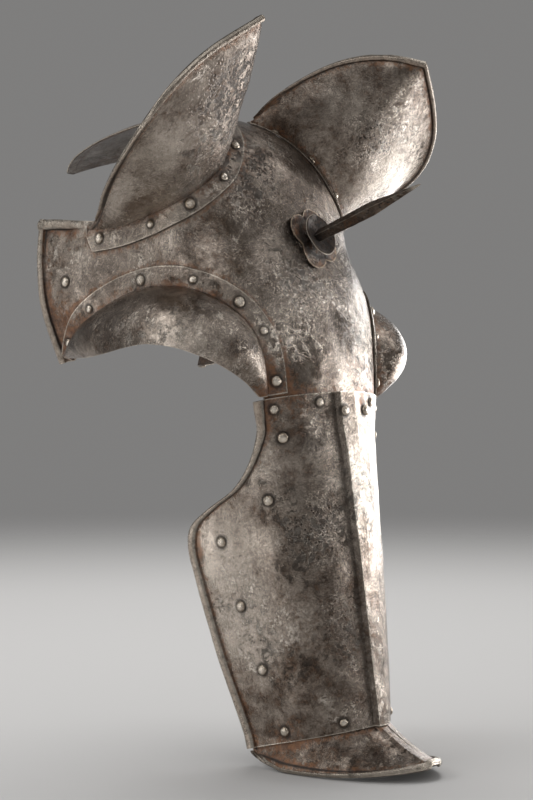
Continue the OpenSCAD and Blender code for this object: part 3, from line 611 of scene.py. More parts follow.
eyeRivets = flangeRivets(eyeForm, eyeSide, eyeFlangeWidth)
earRivets = flangeRivets(earForm, earSide, earFlangeWidth)
liningRivets = noseRivets([[-70, -32], [-58, -85], [-6, -123], [-24, -177.5], [-43, -231]], [1] * 5)
jointRivets = noseRivets([[-66, -8], [-87, -2]], [0.3, 0.3])
brimRivets = noseRivets([[-60, -283.5], [-110, -272.5]], [1, 0])
wingSpot = onSkin(np.array([[137, 105.7]]))
wingRivet = (wingSpot, outwardAt(wingSpot), np.array([rivetForm["big"]]))
bandBack = noseForm["round"] * (1 - math.sqrt(1 - (noseForm["bandTop"] / headForm["bridgeWidth"]) ** 2))
bandSlope = bandBack / noseForm["bandTop"]
bandX, bandZ = 15, -9
bandSpot = np.array([[bandX, noseFront(bandZ) - noseForm["bandHigh"] + bandX * bandSlope, bandZ]])
bandRivet = (bandSpot, unit(np.array([[bandSlope, -1, noseForm["lean"]]])), np.array([rivetForm["big"]]))


def mirrorSpots(group):
    return flipX(group[0]), flipX(group[1]), group[2]


def bothSpots(*groups):  # the groups in one, then their mirror images
    left = [joined(part) for part in zip(*groups)]
    return [joined(part) for part in zip(left, mirrorSpots(left))]


print("working out the plates")


def brushPiece(node, finish, piece):
    piece.data.materials.append(finish)
    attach(piece, "root")
    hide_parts(node)


# Materials
class Wire:
    # A socket whose sums, products and powers add Math nodes to its material
    def __init__(self, finish, socket):
        self.finish, self.socket = finish, socket

    def calc(self, operation, *values):
        return self.finish.add("ShaderNodeMath", {"operation": operation}, dict(enumerate(values)))

    def __add__(self, other): return self.calc("ADD", self, other)
    def __radd__(self, other): return self.calc("ADD", other, self)
    def __sub__(self, other): return self.calc("SUBTRACT", self, other)
    def __rsub__(self, other): return self.calc("SUBTRACT", other, self)
    def __mul__(self, other): return self.calc("MULTIPLY", self, other)
    def __rmul__(self, other): return self.calc("MULTIPLY", other, self)
    def __pow__(self, other): return self.calc("POWER", self, other)
    def atMost(self, other): return self.calc("MINIMUM", self, other)
    def atLeast(self, other): return self.calc("MAXIMUM", self, other)


class Finish:
    # A node material, built from one call that adds a node
    def __init__(self, name, world=None):
        self.material = world or bpy.data.materials.new(name)
        self.material.use_nodes = True
        self.tree = self.material.node_tree
        self.tree.nodes.clear()

    def add(self, kind, settings=None, values=None, out=0):
        node = self.tree.nodes.new(kind)
        for key, value in (settings or {}).items():
            setattr(node, key, value)
        for key, value in (values or {}).items():
            socket = node.inputs[key]
            if isinstance(value, Wire):
                self.tree.links.new(value.socket, socket)
            elif isinstance(value, (tuple, list)) and len(value) == 3 and len(socket.default_value) == 4:
                socket.default_value = (*value, 1)
            else:
                socket.default_value = value
        return Wire(self, node.outputs[out]) if len(node.outputs) else None

    def outs(self, kind, values):  # all the outputs of a new node
        return [Wire(self, socket) for socket in self.add(kind, {}, values).socket.node.outputs]

    def place(self):
        return self.add("ShaderNodeTexCoord", out="Object")

    def noise(self, p, scale, detail=3, rough=0.5, twist=0.0):
        return self.add("ShaderNodeTexNoise", {}, {"Vector": p, "Scale": scale, "Detail": detail,
                                                   "Roughness": rough, "Distortion": twist})

    def cells(self, p, scale):  # way to the nearest of scattered points
        return self.add("ShaderNodeTexVoronoi", {"feature": "F1"}, {"Vector": p, "Scale": scale}, "Distance")

    def step(self, value, low, high):  # eases from 0 at low to 1 at high
        return self.add("ShaderNodeMapRange", {"interpolation_type": "SMOOTHSTEP"},
                        {"Value": value, "From Min": low, "From Max": high})

    def mix(self, share, a, b):
        return self.add("ShaderNodeMix", {"data_type": "RGBA"}, {0: share, 6: a, 7: b}, 2)

    def channels(self, label):
        colour = self.add("ShaderNodeAttribute", {"attribute_name": label})
        return self.outs("ShaderNodeSeparateColor", {"Color": colour})

    def surface(self, **values):
        names = {key.replace("_", " "): value for key, value in values.items()}
        shader = self.add("ShaderNodeBsdfPrincipled", {}, names)
        self.add("ShaderNodeOutputMaterial", {}, {"Surface": shader})
        return self.material


steelTones = {
    "patina": (0.145, 0.096, 0.068), "patinaDark": (0.036, 0.024, 0.017),
    "metal": (0.235, 0.194, 0.162), "metalPale": (0.53, 0.465, 0.40), "fleck": (0.66, 0.595, 0.52),
    "rust": (0.270, 0.118, 0.048), "rustDark": (0.095, 0.044, 0.024),
    # The bare metal tone below also paints highlight on edges and beads, and the darkest tone serves for dirt and
    # painted shade
    "worn": (0.58, 0.52, 0.44), "dirtAndShade": (0.018, 0.013, 0.010), "pit": (0.024, 0.018, 0.014),
    "patinaMore": 0.02, "pits": 1.0, "rustMore": 0.0, "rough": 0.20, "metallic": 0.95, "ring": 0.8,
    "beadWorn": 0.45,
}


def steelFinish(name, **changes):
    # Brown patina lies over paler steel, smooth in some places and with bright ragged flecks in clusters in
    # others; then corrosion islands, pits, rust stains, painted shade and dirt in creases and round rivets, and
    # bare worn edges with painted highlight
    t = {**steelTones, **changes}
    m = Finish(name)
    p = m.place()
    edgeGap, creaseGap, ringGap = [gap * gapUnit for gap in m.channels("gaps")]
    worn, dirtAndShade, rust = m.channels("marks")
    pitted, polishAndPaintedLight, bead = m.channels("zones")
    cloud = m.noise(p, 7.5, 3, 0.5, 0.5)
    patch = m.noise(p, 62, 8, 0.78, 0.25)
    speck = m.noise(p, 190, 7, 0.80)
    fine = m.noise(p, 620, 4, 0.75)
    flecks = m.noise(p, 125, 9, 0.82, 0.10)
    calm = m.step(m.noise(p, 11, 3, 0.5, 0.4) - pitted * 0.15, 0.45, 0.58)
    # Pale patches thin the patina, lighten the steel and gather flecks: pale polish and painted highlight
    layer = patch * 0.75 + cloud * 0.22 + speck * 0.42 - 0.195 - polishAndPaintedLight * 0.20 + t["patinaMore"] + bead * 0.02
    patina = m.step(layer, 0.37, 0.63)
    shade = m.step(speck * 0.70 + fine * 0.40 + cloud * 0.25 + polishAndPaintedLight * 0.08 - 0.175, 0.40, 0.63)
    steel = m.mix(shade, t["metal"], t["metalPale"])
    brown = m.mix(shade, t["patinaDark"], t["patina"])
    colour = m.mix(patina, steel, brown)
    cluster = m.step(m.noise(p, 17, 5, 0.65) + polishAndPaintedLight * 0.12 - calm * 0.10, 0.43, 0.60)
    fleck = m.step(flecks, 0.51, 0.555) * (0.05 + cluster * 0.75)
    colour = m.mix(fleck, colour, t["fleck"])
    stain = 1 - m.step(creaseGap, 1.5, 11)
    rustShare = m.step(patch * 0.38 + speck * 0.42 + rust * 0.30 + stain * 0.20 + bead * 0.03 + t["rustMore"],
                       0.48, 0.72)
    colour = m.mix(rustShare * 0.75, colour, m.mix(m.step(speck, 0.38, 0.60), t["rustDark"], t["rust"]))
    bed = m.step(m.noise(p, 15, 3, 0.6) * 0.8 + pitted * 0.34, 0.39, 0.55)
    island = m.step(m.noise(p, 125, 8, 0.78, 0.3) + pitted * 0.05, 0.53, 0.575) * bed
    holes = (1 - m.step(m.cells(p, 300), 0.14, 0.44)) * m.step(patch * 0.6 + pitted * 0.38, 0.31, 0.50)
    pits = ((island * 0.8).atLeast(holes) * t["pits"]).atMost(1)
    colour = m.mix(pits * 0.90, colour, t["pit"])
    # Dark lines along creases, lapped plate edges and roll feet and a dark ring round each rivet head: painted shade,
    # joined with dirt and the shade patches
    line = 1 - m.step(creaseGap + (speck - 0.5) * 1.2, 0.3, 2.1)
    ring = (1 - m.step(ringGap + (speck - 0.5) * 1.5, 0.2, 3.6)) * t["ring"]
    dark = (dirtAndShade * (0.55 + speck * 0.7)).atLeast(line * 0.9).atLeast(ring).atMost(1)
    colour = m.mix(dark, colour, t["dirtAndShade"])
    # Bare metal on edges and rolled beads: wear and painted highlight
    bareAndLit = worn.atLeast((1 - m.step(edgeGap, 0.2, 1.4)) * 0.80).atLeast(bead * t["beadWorn"])
    bareAndLitShare = m.step(bareAndLit * (0.34 + speck * 1.10), 0.36, 0.82)
    colour = m.mix(bareAndLitShare * 0.8, colour, t["worn"])
    rough = (t["rough"] + patina * 0.05 + (speck - 0.5) * 0.34 + (cloud - 0.5) * 0.12 + rustShare * 0.20 + pits * 0.22
             + dark * 0.2 - fleck * 0.05 - bareAndLitShare * 0.05 - calm * 0.05).atLeast(0.14)
    metallic = t["metallic"] - rustShare * 0.45 - pits * 0.35 - dark * 0.35
    height = (patch * 0.6 + speck * 0.8 + fine * 0.3) * (1 - calm * 0.6) + fleck * 0.15 - pits * 0.9
    normal = m.add("ShaderNodeBump", {}, {"Strength": 0.8, "Distance": 0.0011, "Height": height})
    return m.surface(Base_Color=colour, Roughness=rough, Metallic=metallic, Normal=normal)


plateSteel = steelFinish("plate_steel")
guardSteel = steelFinish("guard_steel", patinaMore=0.01)
# On the brim the rolled bead is brighter: painted highlight with wear
brimSteel = steelFinish("brim_steel", patinaMore=0.05, beadWorn=0.8)
petalSteel = steelFinish("petal_steel", patinaMore=0.10, rustMore=0.03, worn=(0.66, 0.52, 0.38))
rivetSteel = steelFinish("rivet_steel", patina=(0.48, 0.39, 0.30), patinaDark=(0.24, 0.185, 0.135),
                         metal=(0.66, 0.58, 0.48), metalPale=(0.88, 0.80, 0.70), worn=(0.88, 0.81, 0.71), rough=0.20,
                         pits=0.35, rustMore=-0.08, ring=0.3)
darkIron = steelFinish("dark_iron", patina=(0.125, 0.090, 0.066), patinaDark=(0.050, 0.033, 0.023),
                       metal=(0.19, 0.155, 0.125), metalPale=(0.33, 0.28, 0.235), rustMore=0.05, rough=0.38,
                       patinaMore=0.05, metallic=0.88)
print("finishes made")


def gridPiece(name, node, finish, outer, inner, layers):
    # One sheet of rows and columns with a thickness
    index = np.arange(outer[..., 0].size).reshape(outer.shape[:2])
    piece = thickPiece(name, outer.reshape(-1, 3), inner.reshape(-1, 3), quadsOf(index), layers)
    brushPiece(node, finish, piece)


def edgeGapOf(grid, sides=("top", "foot", "left", "right")):
    # Shortest way along the grid's lines to its free sides
    ways = []
    for axis in (0, 1):
        way = np.cumsum(np.insert(lengthOf(np.diff(grid, axis=axis)), 0, 0, axis), axis)
        ways += [way, way.take([-1], axis) - way]
    return np.min([way for side, way in zip(("top", "foot", "left", "right"), ways) if side in sides], 0)


# Brim: collar inside the foot of the nose plate, flaring to a rolled rim
brimForm = {"width": 58, "reach": 117.5, "collar": 16, "roll": 3.2, "middle": -62, "rear": 70, "turn": 126,
            "frontZ": -306, "sideZ": -316, "band": 5.5, "bandHigh": 2, "sag": 3}


def brimRim(a):
    # Oval in plan, higher in front; past the sides it rises 0.3 mm a degree
    f = brimForm
    c, s = np.cos(np.radians(a)), np.sin(np.radians(a))
    depth = np.where(c > 0, f["reach"], f["rear"])
    z = between(f["frontZ"], f["sideZ"], ease(np.abs(a) / 80)) + np.maximum(np.abs(a) - 90, 0) * 0.3
    return axes(f["width"] * s, f["middle"] - depth * c, z)


def brimSheet():
    f = brimForm
    top = 1 - f["collar"] / (noseForm["top"] - noseForm["foot"])
    v = np.linspace(top, 1, 9)
    plateSpots = np.linspace(0, 1, 57)
    line, _ = noseHalfLines(v, plateSpots, np.array([2, 1.6, 1.3, 1.0]))
    steps = joined([np.linspace(0, 1, noseForm["bandCols"]), [1.15, 1.5, 1.85], 2 + 14 * plateSpots,
                            [17, 17.5, 18]])
    foot = bothSides(line)
    inside = foot - gridNormals(softened(foot, 8)) * lap
    columns = joined([-steps[:0:-1], steps])
    edge = math.degrees(math.asin(f["band"] / f["width"]))
    a = np.sign(columns) * np.interp(np.abs(columns), [0, 1, 2, 18], [0, edge, edge + 1.5, f["turn"]])
    rim = brimRim(a)
    rim[:, 2] += f["bandHigh"] * (1 - ease(np.abs(columns) - 1))
    start = inside[-1]
    reach = lengthOf(rim - start)[len(rim) // 4]
    share = rolledShares(22, reach, f["roll"])[1:]
    flare = between(start[None], rim[None], share[:, None, None])
    flare[..., 2] -= f["sag"] * np.sin(np.pi * share)[:, None]
    grid = joined([inside, flare])
    rolls = np.zeros(len(grid))
    rolls[-len(rollSpots) + 1:] = rollHeight(rollSpots[1:] * f["roll"], f["roll"])
    return grid, np.broadcast_to(rolls[:, None], grid.shape[:2])


def flangeRows(form, sideAt, widthAt):
    # Shares along the root line, its direction, and the flange's rows from its outer edge to that line
    s = np.linspace(0, 1, form["lines"] + 1)
    side = sideAt(s)
    along = unit(np.gradient(side, axis=0))
    flange = [flangeAt(side, along, np.full(len(s), e), widthAt(s)) for e in flangeSpots]
    return s, along, [p + outwardAt(p) * lapGap for p in flange]


def earSheet():
    f = earForm
    s, along, flange = flangeRows(f, earSide, earFlangeWidth)
    rim = np.where((s < 0.5)[:, None], through(f["rim"], s * 2), through(f["rimInner"], s * 2 - 1))
    way = rim - flange[-1]
    length = lengthOf(way)
    swell = unit(np.cross(way, along)) * np.minimum(f["swell"] * through(f["rise"], s), length * 0.2)[:, None]

    def cone(share):  # straight from root to rim, plus the swell times sin(pi v^0.8)
        return flange[-1] + way * share[:, None] + swell * np.sin(np.pi * share ** 0.8)[:, None]

    edgeShare = [1 - np.minimum(m * f["roll"] / np.maximum(length, 1), 0.06 * m) for m in rollSpots]
    body = [cone(edgeShare[0] * v) for v in np.linspace(0, 1, 34)[1:-1]]
    rows = flange + body + [cone(e) for e in edgeShare]
    grid = np.stack(rows)
    # The fold from the point to the root is rounded, most in the middle of the leaf, and then pushed back out to
    # its place by a bell of the distance along the row
    keep = np.zeros(len(rows))
    keep[len(flange):len(flange) + len(body)] = np.sin(np.pi * np.linspace(0, 1, len(body) + 2)[1:-1]) ** 0.5
    rounded = softened(grid, f["foldPasses"])
    fold = f["lines"] // 2
    push = bump((np.arange(len(s)) - fold) / f["foldKeep"])[None, :, None]
    rounded = rounded + (grid[:, fold] - rounded[:, fold])[:, None] * push
    grid = between(grid, rounded, keep[:, None, None])
    rolls = np.zeros(grid.shape[:2])
    rolls[-len(rollSpots):] = rollHeight(rollSpots * f["roll"], f["roll"])[:, None] * np.minimum(length / 20, 1)[None]
    return grid, rolls, len(flange) - 1


def eyeSheet():
    f = eyeForm
    s, along, flange = flangeRows(f, eyeSide, eyeFlangeWidth)
    way = through(f["edge"], s) - flange[-1]
    length = lengthOf(way)
    swell = unit(np.cross(way, along)) * np.minimum(f["swell"], length * 0.25)[:, None]
    visor = [flange[-1] + way * v + swell * math.sin(math.pi * v) for v in np.linspace(0, 1, 30)[1:]]
    return np.stack(flange + visor), len(flange) - 1


browPoints, browQuads, browRolls = browSheet()
line, rollLine = noseHalfLines(np.linspace(0, 1, noseForm["lines"]))
noseGrid = bothSides(line)
noseRolls = joined([rollLine[:, :0:-1], rollLine], 1)
brimGrid, brimRolls = brimSheet()
earGrid, earRolls, earRoot = earSheet()
eyeGrid, eyeRoot = eyeSheet()
browEdge = browPoints[np.unique(freeEdges(browQuads, len(browPoints))[0])]
noseEdge = joined([noseGrid[0], noseGrid[-1], noseGrid[:, 0], noseGrid[:, -1]])
leftEdges = [browEdge, noseEdge, earGrid[-1], eyeGrid[-1]]
plateEdges = joined(leftEdges + [flipX(p) for p in leftEdges[2:]])
mirrors = ((1, "left"), (-1, "right"))


def besideRoll(edgeGap, r):  # way to the dark line beside a rolled edge, 2.3 roll radii in from the edge
    return np.abs(edgeGap - 2.3 * r)


def beadShare(rolls, r):  # 1 on a rolled edge, easing to 0 at its foot
    return ease(rolls / r * 1.5)


# Brow plate mesh
edgeGap = nearest(browPoints, browEdge)
browRivets = bothSpots(eyeRivets, earRivets, wingRivet)
flangeEdges = joined([p * np.array([k, 1, 1]) for k, _ in mirrors for p in (eyeGrid[0], earGrid[0])])
onWing = ease((browPoints[:, 1] - browForm["rollLineFrom"]) / browForm["rollLineIn"])
# Creases: the flange edges and the nose plate's top edge lying on this plate, and the line beside the wing's rolled
# edge; the finish paints a dark line along them as painted contact shadow and dirt
crease = np.min([nearest(browPoints, flangeEdges), nearest(browPoints, noseGrid[0]),
                 besideRoll(edgeGap, rollR) + gapUnit * (1 - onWing)], 0)
onBead = beadShare(browRolls, rollR)
layers = layersFor(browPoints, edgeGap, crease, browRivets, 0.75 * onBead, 0, onBead)
normals = outwardAt(browPoints)
shaped = hammered(browPoints, normals)
browPlate = thickPiece("browPlate", shaped + normals * browRolls[:, None], shaped - normals * plateT, browQuads,
                       layers)
brushPiece("brow_plate", plateSteel, browPlate)
print("brow plate made")

# Nose plate mesh
noseNormals = gridNormals(noseGrid)
wideNormals = gridNormals(softened(noseGrid, 20))
noseSpots = bothSpots(liningRivets, jointRivets, brimRivets, bandRivet)
sideRolls = besideRoll(edgeGapOf(noseGrid, ("left", "right")), rollR)
pastBand = np.abs(noseGrid[..., 0]) - bandHalf(noseGrid[..., 2])
slot = np.array([10.9, -98.5, -1])  # a dark upright slot beside the band's top, painted shade where no hole is cut
slotWay = lengthOf((noseGrid - slot) * [1, 1, 0.36])
noseBead = beadShare(noseRolls, rollR)
# Beside the raised band the plate darkens as a painted dark reflection, and the band's near edge gets a painted
# highlight line
layers = layersFor(noseGrid, edgeGapOf(noseGrid), np.minimum(sideRolls, slotWay), noseSpots,
                   np.maximum(0.72 * noseBead, 0.85 * bump((pastBand + 0.6) / 0.8)),
                   0.4 * bump((pastBand - 3) / 4), noseBead)
shaped = hammered(noseGrid, wideNormals)
gridPiece("nosePlate", "nose_plate", plateSteel, shaped + noseNormals * noseRolls[..., None],
          shaped - wideNormals * plateT, layers)
print("nose plate made")

# Brim mesh
brimNormals = gridNormals(brimGrid)
brimWide = gridNormals(softened(brimGrid, 6))
brimBead = beadShare(brimRolls, brimForm["roll"])
crease = np.minimum(besideRoll(edgeGapOf(brimGrid, ("foot",)), brimForm["roll"]), nearest(brimGrid, noseGrid[-1]))
layers = layersFor(brimGrid, edgeGapOf(brimGrid), crease, bothSpots(brimRivets), 0.75 * brimBead, 0, brimBead)
gridPiece("noseBrim", "nose_brim", brimSteel, brimGrid + brimNormals * brimRolls[..., None],
          brimGrid - brimWide * plateT, layers)
print("brim made")

# Guard meshes, each on the inner side of its sheet plus the plate's thickness
noRolls = np.zeros(eyeGrid.shape[:2])
for word, form, grid, rolls, root, rivets in (("Ear", earForm, earGrid, earRolls, earRoot, earRivets),
                                              ("Eye", eyeForm, eyeGrid, noRolls, eyeRoot, eyeRivets)):
    normals = gridNormals(grid)
    fromTop = edgeGapOf(grid, ("top",))
    crease = np.abs(fromTop - fromTop[root][None]) * 0.8
    if "roll" in form:
        crease = np.minimum(crease, besideRoll(edgeGapOf(grid, ("foot",)), form["roll"]))
    onBead = beadShare(rolls, earForm["roll"])
    for side, label in mirrors:
        flip = np.array([side, 1, 1])
        outer = hammered(grid * flip, normals * flip)
        layers = layersFor(grid * flip, edgeGapOf(grid), crease, (rivets[0] * flip, *rivets[1:]),
                           0.68 * onBead, 0, onBead)
        gridPiece(label + word + "Guard", label + "_" + word.lower() + "_guard", guardSteel,
                  outer + normals * flip * (plateT + rolls[..., None]), outer, layers)
print("guards made")

# Rosette, cup and spike on one tang through the forehead
crestForm = {
    "turn": 165.5, "petals": 4, "radius": 30, "sheet": 1.2, "ball": 160, "petalTurn": 65, "gap": 2.4,
    "cupRadius": 19, "cupSheet": 1.4, "cupDeep": 5, "spikeLength": 119, "spikeSide": 8, "tang": 3,
    "belly": 1.12, "bellyAt": 0.55, "point": 0.12, "lean": 5.1, "droop": 3.5, "rootGap": 1.2,
}
crestSpine = spineAt(crestForm["turn"])
crestSpot = np.array([0, *crestSpine])
crestOut = unit(outwardAt(onSkin(crestSpine + [0.01, 0])) * [0, 1, 1])
crestUp = np.array([0, -crestOut[2] * np.sign(crestOut[1]), abs(crestOut[1])])
crestSide = np.cross(crestOut, crestUp)
ballDrop = crestForm["ball"] - math.sqrt(crestForm["ball"] ** 2 - crestForm["radius"] ** 2)
rosetteTop = crestForm["gap"] + ballDrop + crestForm["sheet"]


def onCrest(p):  # local x runs up the forehead, y to the horse's right, z out of it
    return crestSpot + p[..., :1] * crestUp + p[..., 1:2] * crestSide + p[..., 2:] * crestOut


def rosetteSheet():
    # Polar grid out to r = radius cos(angle from the nearest petal), on a ball, each petal a little hollowed
    # with a raised lip along its outline
    f = crestForm
    turn = np.linspace(0, 360, 145)
    half = 180 / f["petals"]
    off = (turn - f["petalTurn"] + half) % (2 * half) - half
    valley = half - np.abs(off)
    share = joined([np.linspace(0.11, 0.86, 22), np.linspace(0.88, 1, 9)])[:, None]
    r = share * f["radius"] * np.cos(np.radians(off))
    z = rosetteTop - f["ball"] + np.sqrt(f["ball"] ** 2 - r ** 2)
    lip = bump((1 - share) / 0.05) * 0.55
    vein = -0.8 * bump(valley / 5) * ease(share * 2)
    return polar(r, np.radians(turn), z + lip + vein), r, share, valley


def closedColumns(grid):  # index grid whose last column is its first
    index = np.arange(grid.shape[0] * (grid.shape[1] - 1)).reshape(grid.shape[0], -1)
    return joined([index, index[:, :1]], 1)


def crestLayers(marks, pitted):
    marks = marks.reshape(-1, 3)
    return {"gaps": marks * 0 + 1, "marks": marks, "zones": marks * 0 + [pitted, 0, 0]}


def crestPiece(name, node, finish, outer, inner, layers):
    # A polar sheet on the crest with a thickness
    outside, inside = (onCrest(g)[:, :-1].reshape(-1, 3) for g in (outer, inner))
    piece = thickPiece(name, outside, inside, quadsOf(closedColumns(outer)), layers, bevel=0.3)
    brushPiece(node, finish, piece)


petals, petalR, petalShare, valley = rosetteSheet()
# Painted highlight and wear along the petal outlines; painted shade and dirt round the cup and in the valleys between
# petals
dirtAndShade = np.maximum(bump((petalR - crestForm["cupRadius"]) / 3) * 0.9, bump(valley / 4) * 0.8)[:, :-1]
crestPiece("rosette", "rosette", petalSteel, petals, petals - [0, 0, crestForm["sheet"]],
           crestLayers(axes(bump((1 - petalShare) / 0.04) * 0.85, dirtAndShade, 0.55), 0.4))


def cupSheet():
    # Ball cap: z = ball - sqrt(ball^2 - r^2) above the cup's lowest place
    f = crestForm
    ball = (f["cupRadius"] ** 2 + f["cupDeep"] ** 2) / (2 * f["cupDeep"])
    r = np.linspace(f["tang"] + 0.2, f["cupRadius"], 30)[:, None]
    a = np.radians(np.linspace(0, 360, 97))
    wave = 0.35 * np.sin(3 * a + 0.6) * ease((r - 12) / 7) + 0.2 * np.sin(7 * a) * ease((r - 14) / 5)
    hollow = np.sqrt(ball ** 2 - r ** 2)
    down = polar(r, a, rosetteTop + lapGap + ball - hollow + wave)
    return down, down + polar(-r, a, hollow) / ball * f["cupSheet"], r


cupOut, cupIn, cupR = cupSheet()
rusty = np.full(cupOut.shape[1] - 1, 0.5)
# Painted highlight and wear along the cup's rim; painted shade and dirt in its middle
marks = axes(bump((cupR - crestForm["cupRadius"]) / 1.2) * 0.9, bump((cupR - 4) / 3.5) * 0.8, rusty)
crestPiece("rosetteCup", "rosette_cup", darkIron, cupOut, cupIn, crestLayers(marks, 0.5))


def spikeSheet():
    # Square section with rounded corners carried along a slightly bellied axis:
    # r(turn) = half / (|cos|^1.12 + |sin|^1.12)^(1 / 1.12), half by straight lines from root to belly to point
    f = crestForm
    root = rosetteTop + lapGap + f["cupSheet"] + f["rootGap"]
    half = f["spikeSide"] / math.sqrt(2)
    along = joined([[0, 0.004], np.linspace(0.012, 0.985, 70), [0.995, 1.0]])
    size = half * np.interp(along, [0, f["bellyAt"], 1], [1, f["belly"], f["point"]])
    size = size * np.interp(along, [0, 0.012, 0.985, 1], [0.93, 1, 1, 0.55])
    a = np.radians(np.linspace(0, 360, 65))
    power = 1.12
    ring = 1 / (np.abs(np.cos(a)) ** power + np.abs(np.sin(a)) ** power) ** (1 / power)
    r = size[:, None] * ring[None]
    p = polar(r, a, along[:, None] * f["spikeLength"])
    p = joined([p[:1] * [0.02, 0.02, 1], p, p[-1:] * [0.02, 0.02, 1]])
    lean, droop = math.radians(f["lean"]), math.radians(f["droop"])
    way = np.array([-math.sin(droop) * math.cos(lean), math.sin(lean), math.cos(lean) * math.cos(droop)])
    sideways = unit(np.cross(way, [1, 0, 0]))
    upward = np.cross(sideways, way)
    bent = p[..., :1] * upward + p[..., 1:2] * -sideways + p[..., 2:] * way
    return bent + np.array([0, 0, root]), along, np.abs(np.sin(2 * a))


spikeGrid, spikeAlong, spikeFlat = spikeSheet()
spikePoints = onCrest(spikeGrid)[:, :-1]
spikeOut = unit(spikePoints - spikePoints.mean(1, keepdims=True))
spikePoints = spikePoints + spikeOut * (0.25 * unevenness(spikePoints, 16, 11))[..., None] * 0.8
index = closedColumns(spikeGrid)
tip = joined([[0], spikeAlong, [1]])[:, None]
# Painted highlight and wear along the corners and towards the point; painted shade and dirt at the root
ridge = bump(spikeFlat[:-1] / 0.22)
marks = axes(np.maximum(ridge * 0.75, bump((1 - tip) / 0.16) * 0.9), bump(tip / 0.05), 0.25)


def turnedOut(points, quads):
    # Faces turned round if the closed shape has its volume inside out
    a, b, c, d = (points[quads[:, k]] for k in range(4))
    volume = (a * np.cross(b, c)).sum() + (a * np.cross(c, d)).sum()
    return quads if volume > 0 else quads[:, ::-1]


flat = spikePoints.reshape(-1, 3)
spike = makeMesh("spike", flat, turnedOut(flat, quadsOf(index)), crestLayers(marks, 0.5), 50)
brushPiece("spike", darkIron, spike)
print("crest made")


def rivetPieces(name, node, group, grip, seed):
    # Each rivet is a profile turned about its own axis: domed head, shank and a flatter head inside.
    # The heads are a little out of round and tilted, by seeded random shares
    f = rivetForm
    spots, ways, heads = group
    spots = spots + ways * liftAt(spots)[:, None]
    rng = np.random.default_rng(seed)
    n, around = len(spots), 33
    a = np.linspace(0, 2 * np.pi, around)
    k = np.linspace(0.02, 1, 9)
    rim = len(k)
    domeR, domeZ = np.sin(k * np.pi / 2), np.cos(k * np.pi / 2) ** 0.9
    head, inner, under = heads[:, None], heads[:, None] * f["innerHead"], -grip - f["innerGap"]
    r = joined([head * domeR, np.full((n, 2), f["shank"]), inner * domeR[::-1]], 1)
    z = joined([0.15 + (head * f["domeRise"] + f["headGap"] - 0.15) * domeZ, np.tile([0.12, under + 0.05], (n, 1)),
                under - inner * f["innerRise"] * domeZ[::-1]], 1)
    uneven = 1 + rng.uniform(0.01, 0.05, (n, 1, 1)) * np.cos(2 * a + rng.uniform(0, 6, (n, 1, 1)))
    p = polar(r[..., None] * uneven, a, z[..., None])
    tilt = rng.normal(0, 0.035, (n, 2, 1, 1))
    p[..., 2] += (p[..., 0] * tilt[:, 0] + p[..., 1] * tilt[:, 1]) * (z > 0.3)[..., None]
    helper = np.where(np.abs(ways[:, 2:]) < 0.8, [[0, 0, 1.0]], [[0, 1.0, 0]])
    u = unit(np.cross(helper, ways))
    turned = np.stack([u, np.cross(ways, u), ways], 1)
    p = (spots[:, None, None] + p @ turned[:, None])[:, :, :-1]
    rows = r.shape[1]
    one = quadsOf(closedColumns(np.zeros((rows, around))))
    quads = joined([one + i * rows * (around - 1) for i in range(n)])
    flat = p.reshape(-1, 3)
    # Painted highlight and wear on the dome's crown; painted shade and dirt at the head's foot and on the inner head
    mark = np.zeros((n, rows, around - 1, 3))
    mark[:, :rim, :, 0] = bump(k / 0.8)[:, None] * 0.8
    mark[:, rim - 1, :, 1] = 0.9
    mark[:, rim:, :, 1] = 0.3
    piece = makeMesh(name, flat, turnedOut(flat, quads), crestLayers(mark, 0), 46)
    brushPiece(node, rivetSteel, piece)


twoPlates = 2 * plateT + lapGap
onePlate = plateT + rivetForm["washerGap"] + rivetForm["washer"]
pairs = [("eye_rivets", eyeRivets, twoPlates), ("ear_rivets", earRivets, twoPlates),
         ("nose_rivets", liningRivets, onePlate), ("wing_rivet", wingRivet, onePlate)]
for seed, label, place in ((3, "left", tuple), (4, "right", mirrorSpots)):
    for number, (word, group, grip) in enumerate(pairs):
        name = label + word.title().replace("_", "")
        rivetPieces(name, label + "_" + word, place(group), grip, seed + 10 * number)
rivetPieces("jointRivets", "joint_rivets", bothSpots(jointRivets, bandRivet), twoPlates, 41)
rivetPieces("brimRivets", "brim_rivets", bothSpots(brimRivets), twoPlates, 42)
for node in ("spike_washer", "spike_nut", "left_lining_washers", "right_lining_washers"):
    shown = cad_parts[node]
    shown.data.materials.clear()
    shown.data.materials.append(darkIron)
print("rivets made")

# Floor, world, lights and camera. The floor's gap, half side and lines are in millimetres, the rest in metres
studio = {
    "floorColour": (0.62, 0.61, 0.60), "backColour": (0.21, 0.207, 0.204), "worldLight": 0.45,
    "floorGap": 0.4, "floorHalf": 3600, "floorLines": 61, "fadeFrom": 1.2, "fadeTo": 3.4,
    "lamps": [  # place, target, width, height, power, seen by metal, seen by floor
        ((1.95, -0.92, 0.10), (0, 0, 0.06), 1.40, 0.66, 25, True, False),
        ((-1.95, 1.18, -0.19), (0, 0, -0.19), 1.9, 0.25, 6.05, True, False),
        ((-1.55, 0.85, 1.25), (0, 0, 0.0), 1.4, 0.9, 9, True, True),
        ((-1.2, -1.0, 1.4), (0, 0, 0.05), 1.3, 0.9, 5, True, False),
        ((0.965, 0.075, 0.067), (-0.12, -0.02, 0.22), 0.50, 0.46, 3.2, True, False),
        ((0.952, -0.41, -0.151), (-0.12, -0.02, 0.22), 0.36, 0.34, 0.7, True, False),
        ((1.15, -0.55, 1.55), (0, 0, 0.15), 1.2, 1.0, 7, True, False),
        ((0.7, 0.5, 2.2), (0, 0, -0.3), 1.5, 1.5, 34, False, True),
    ],
}
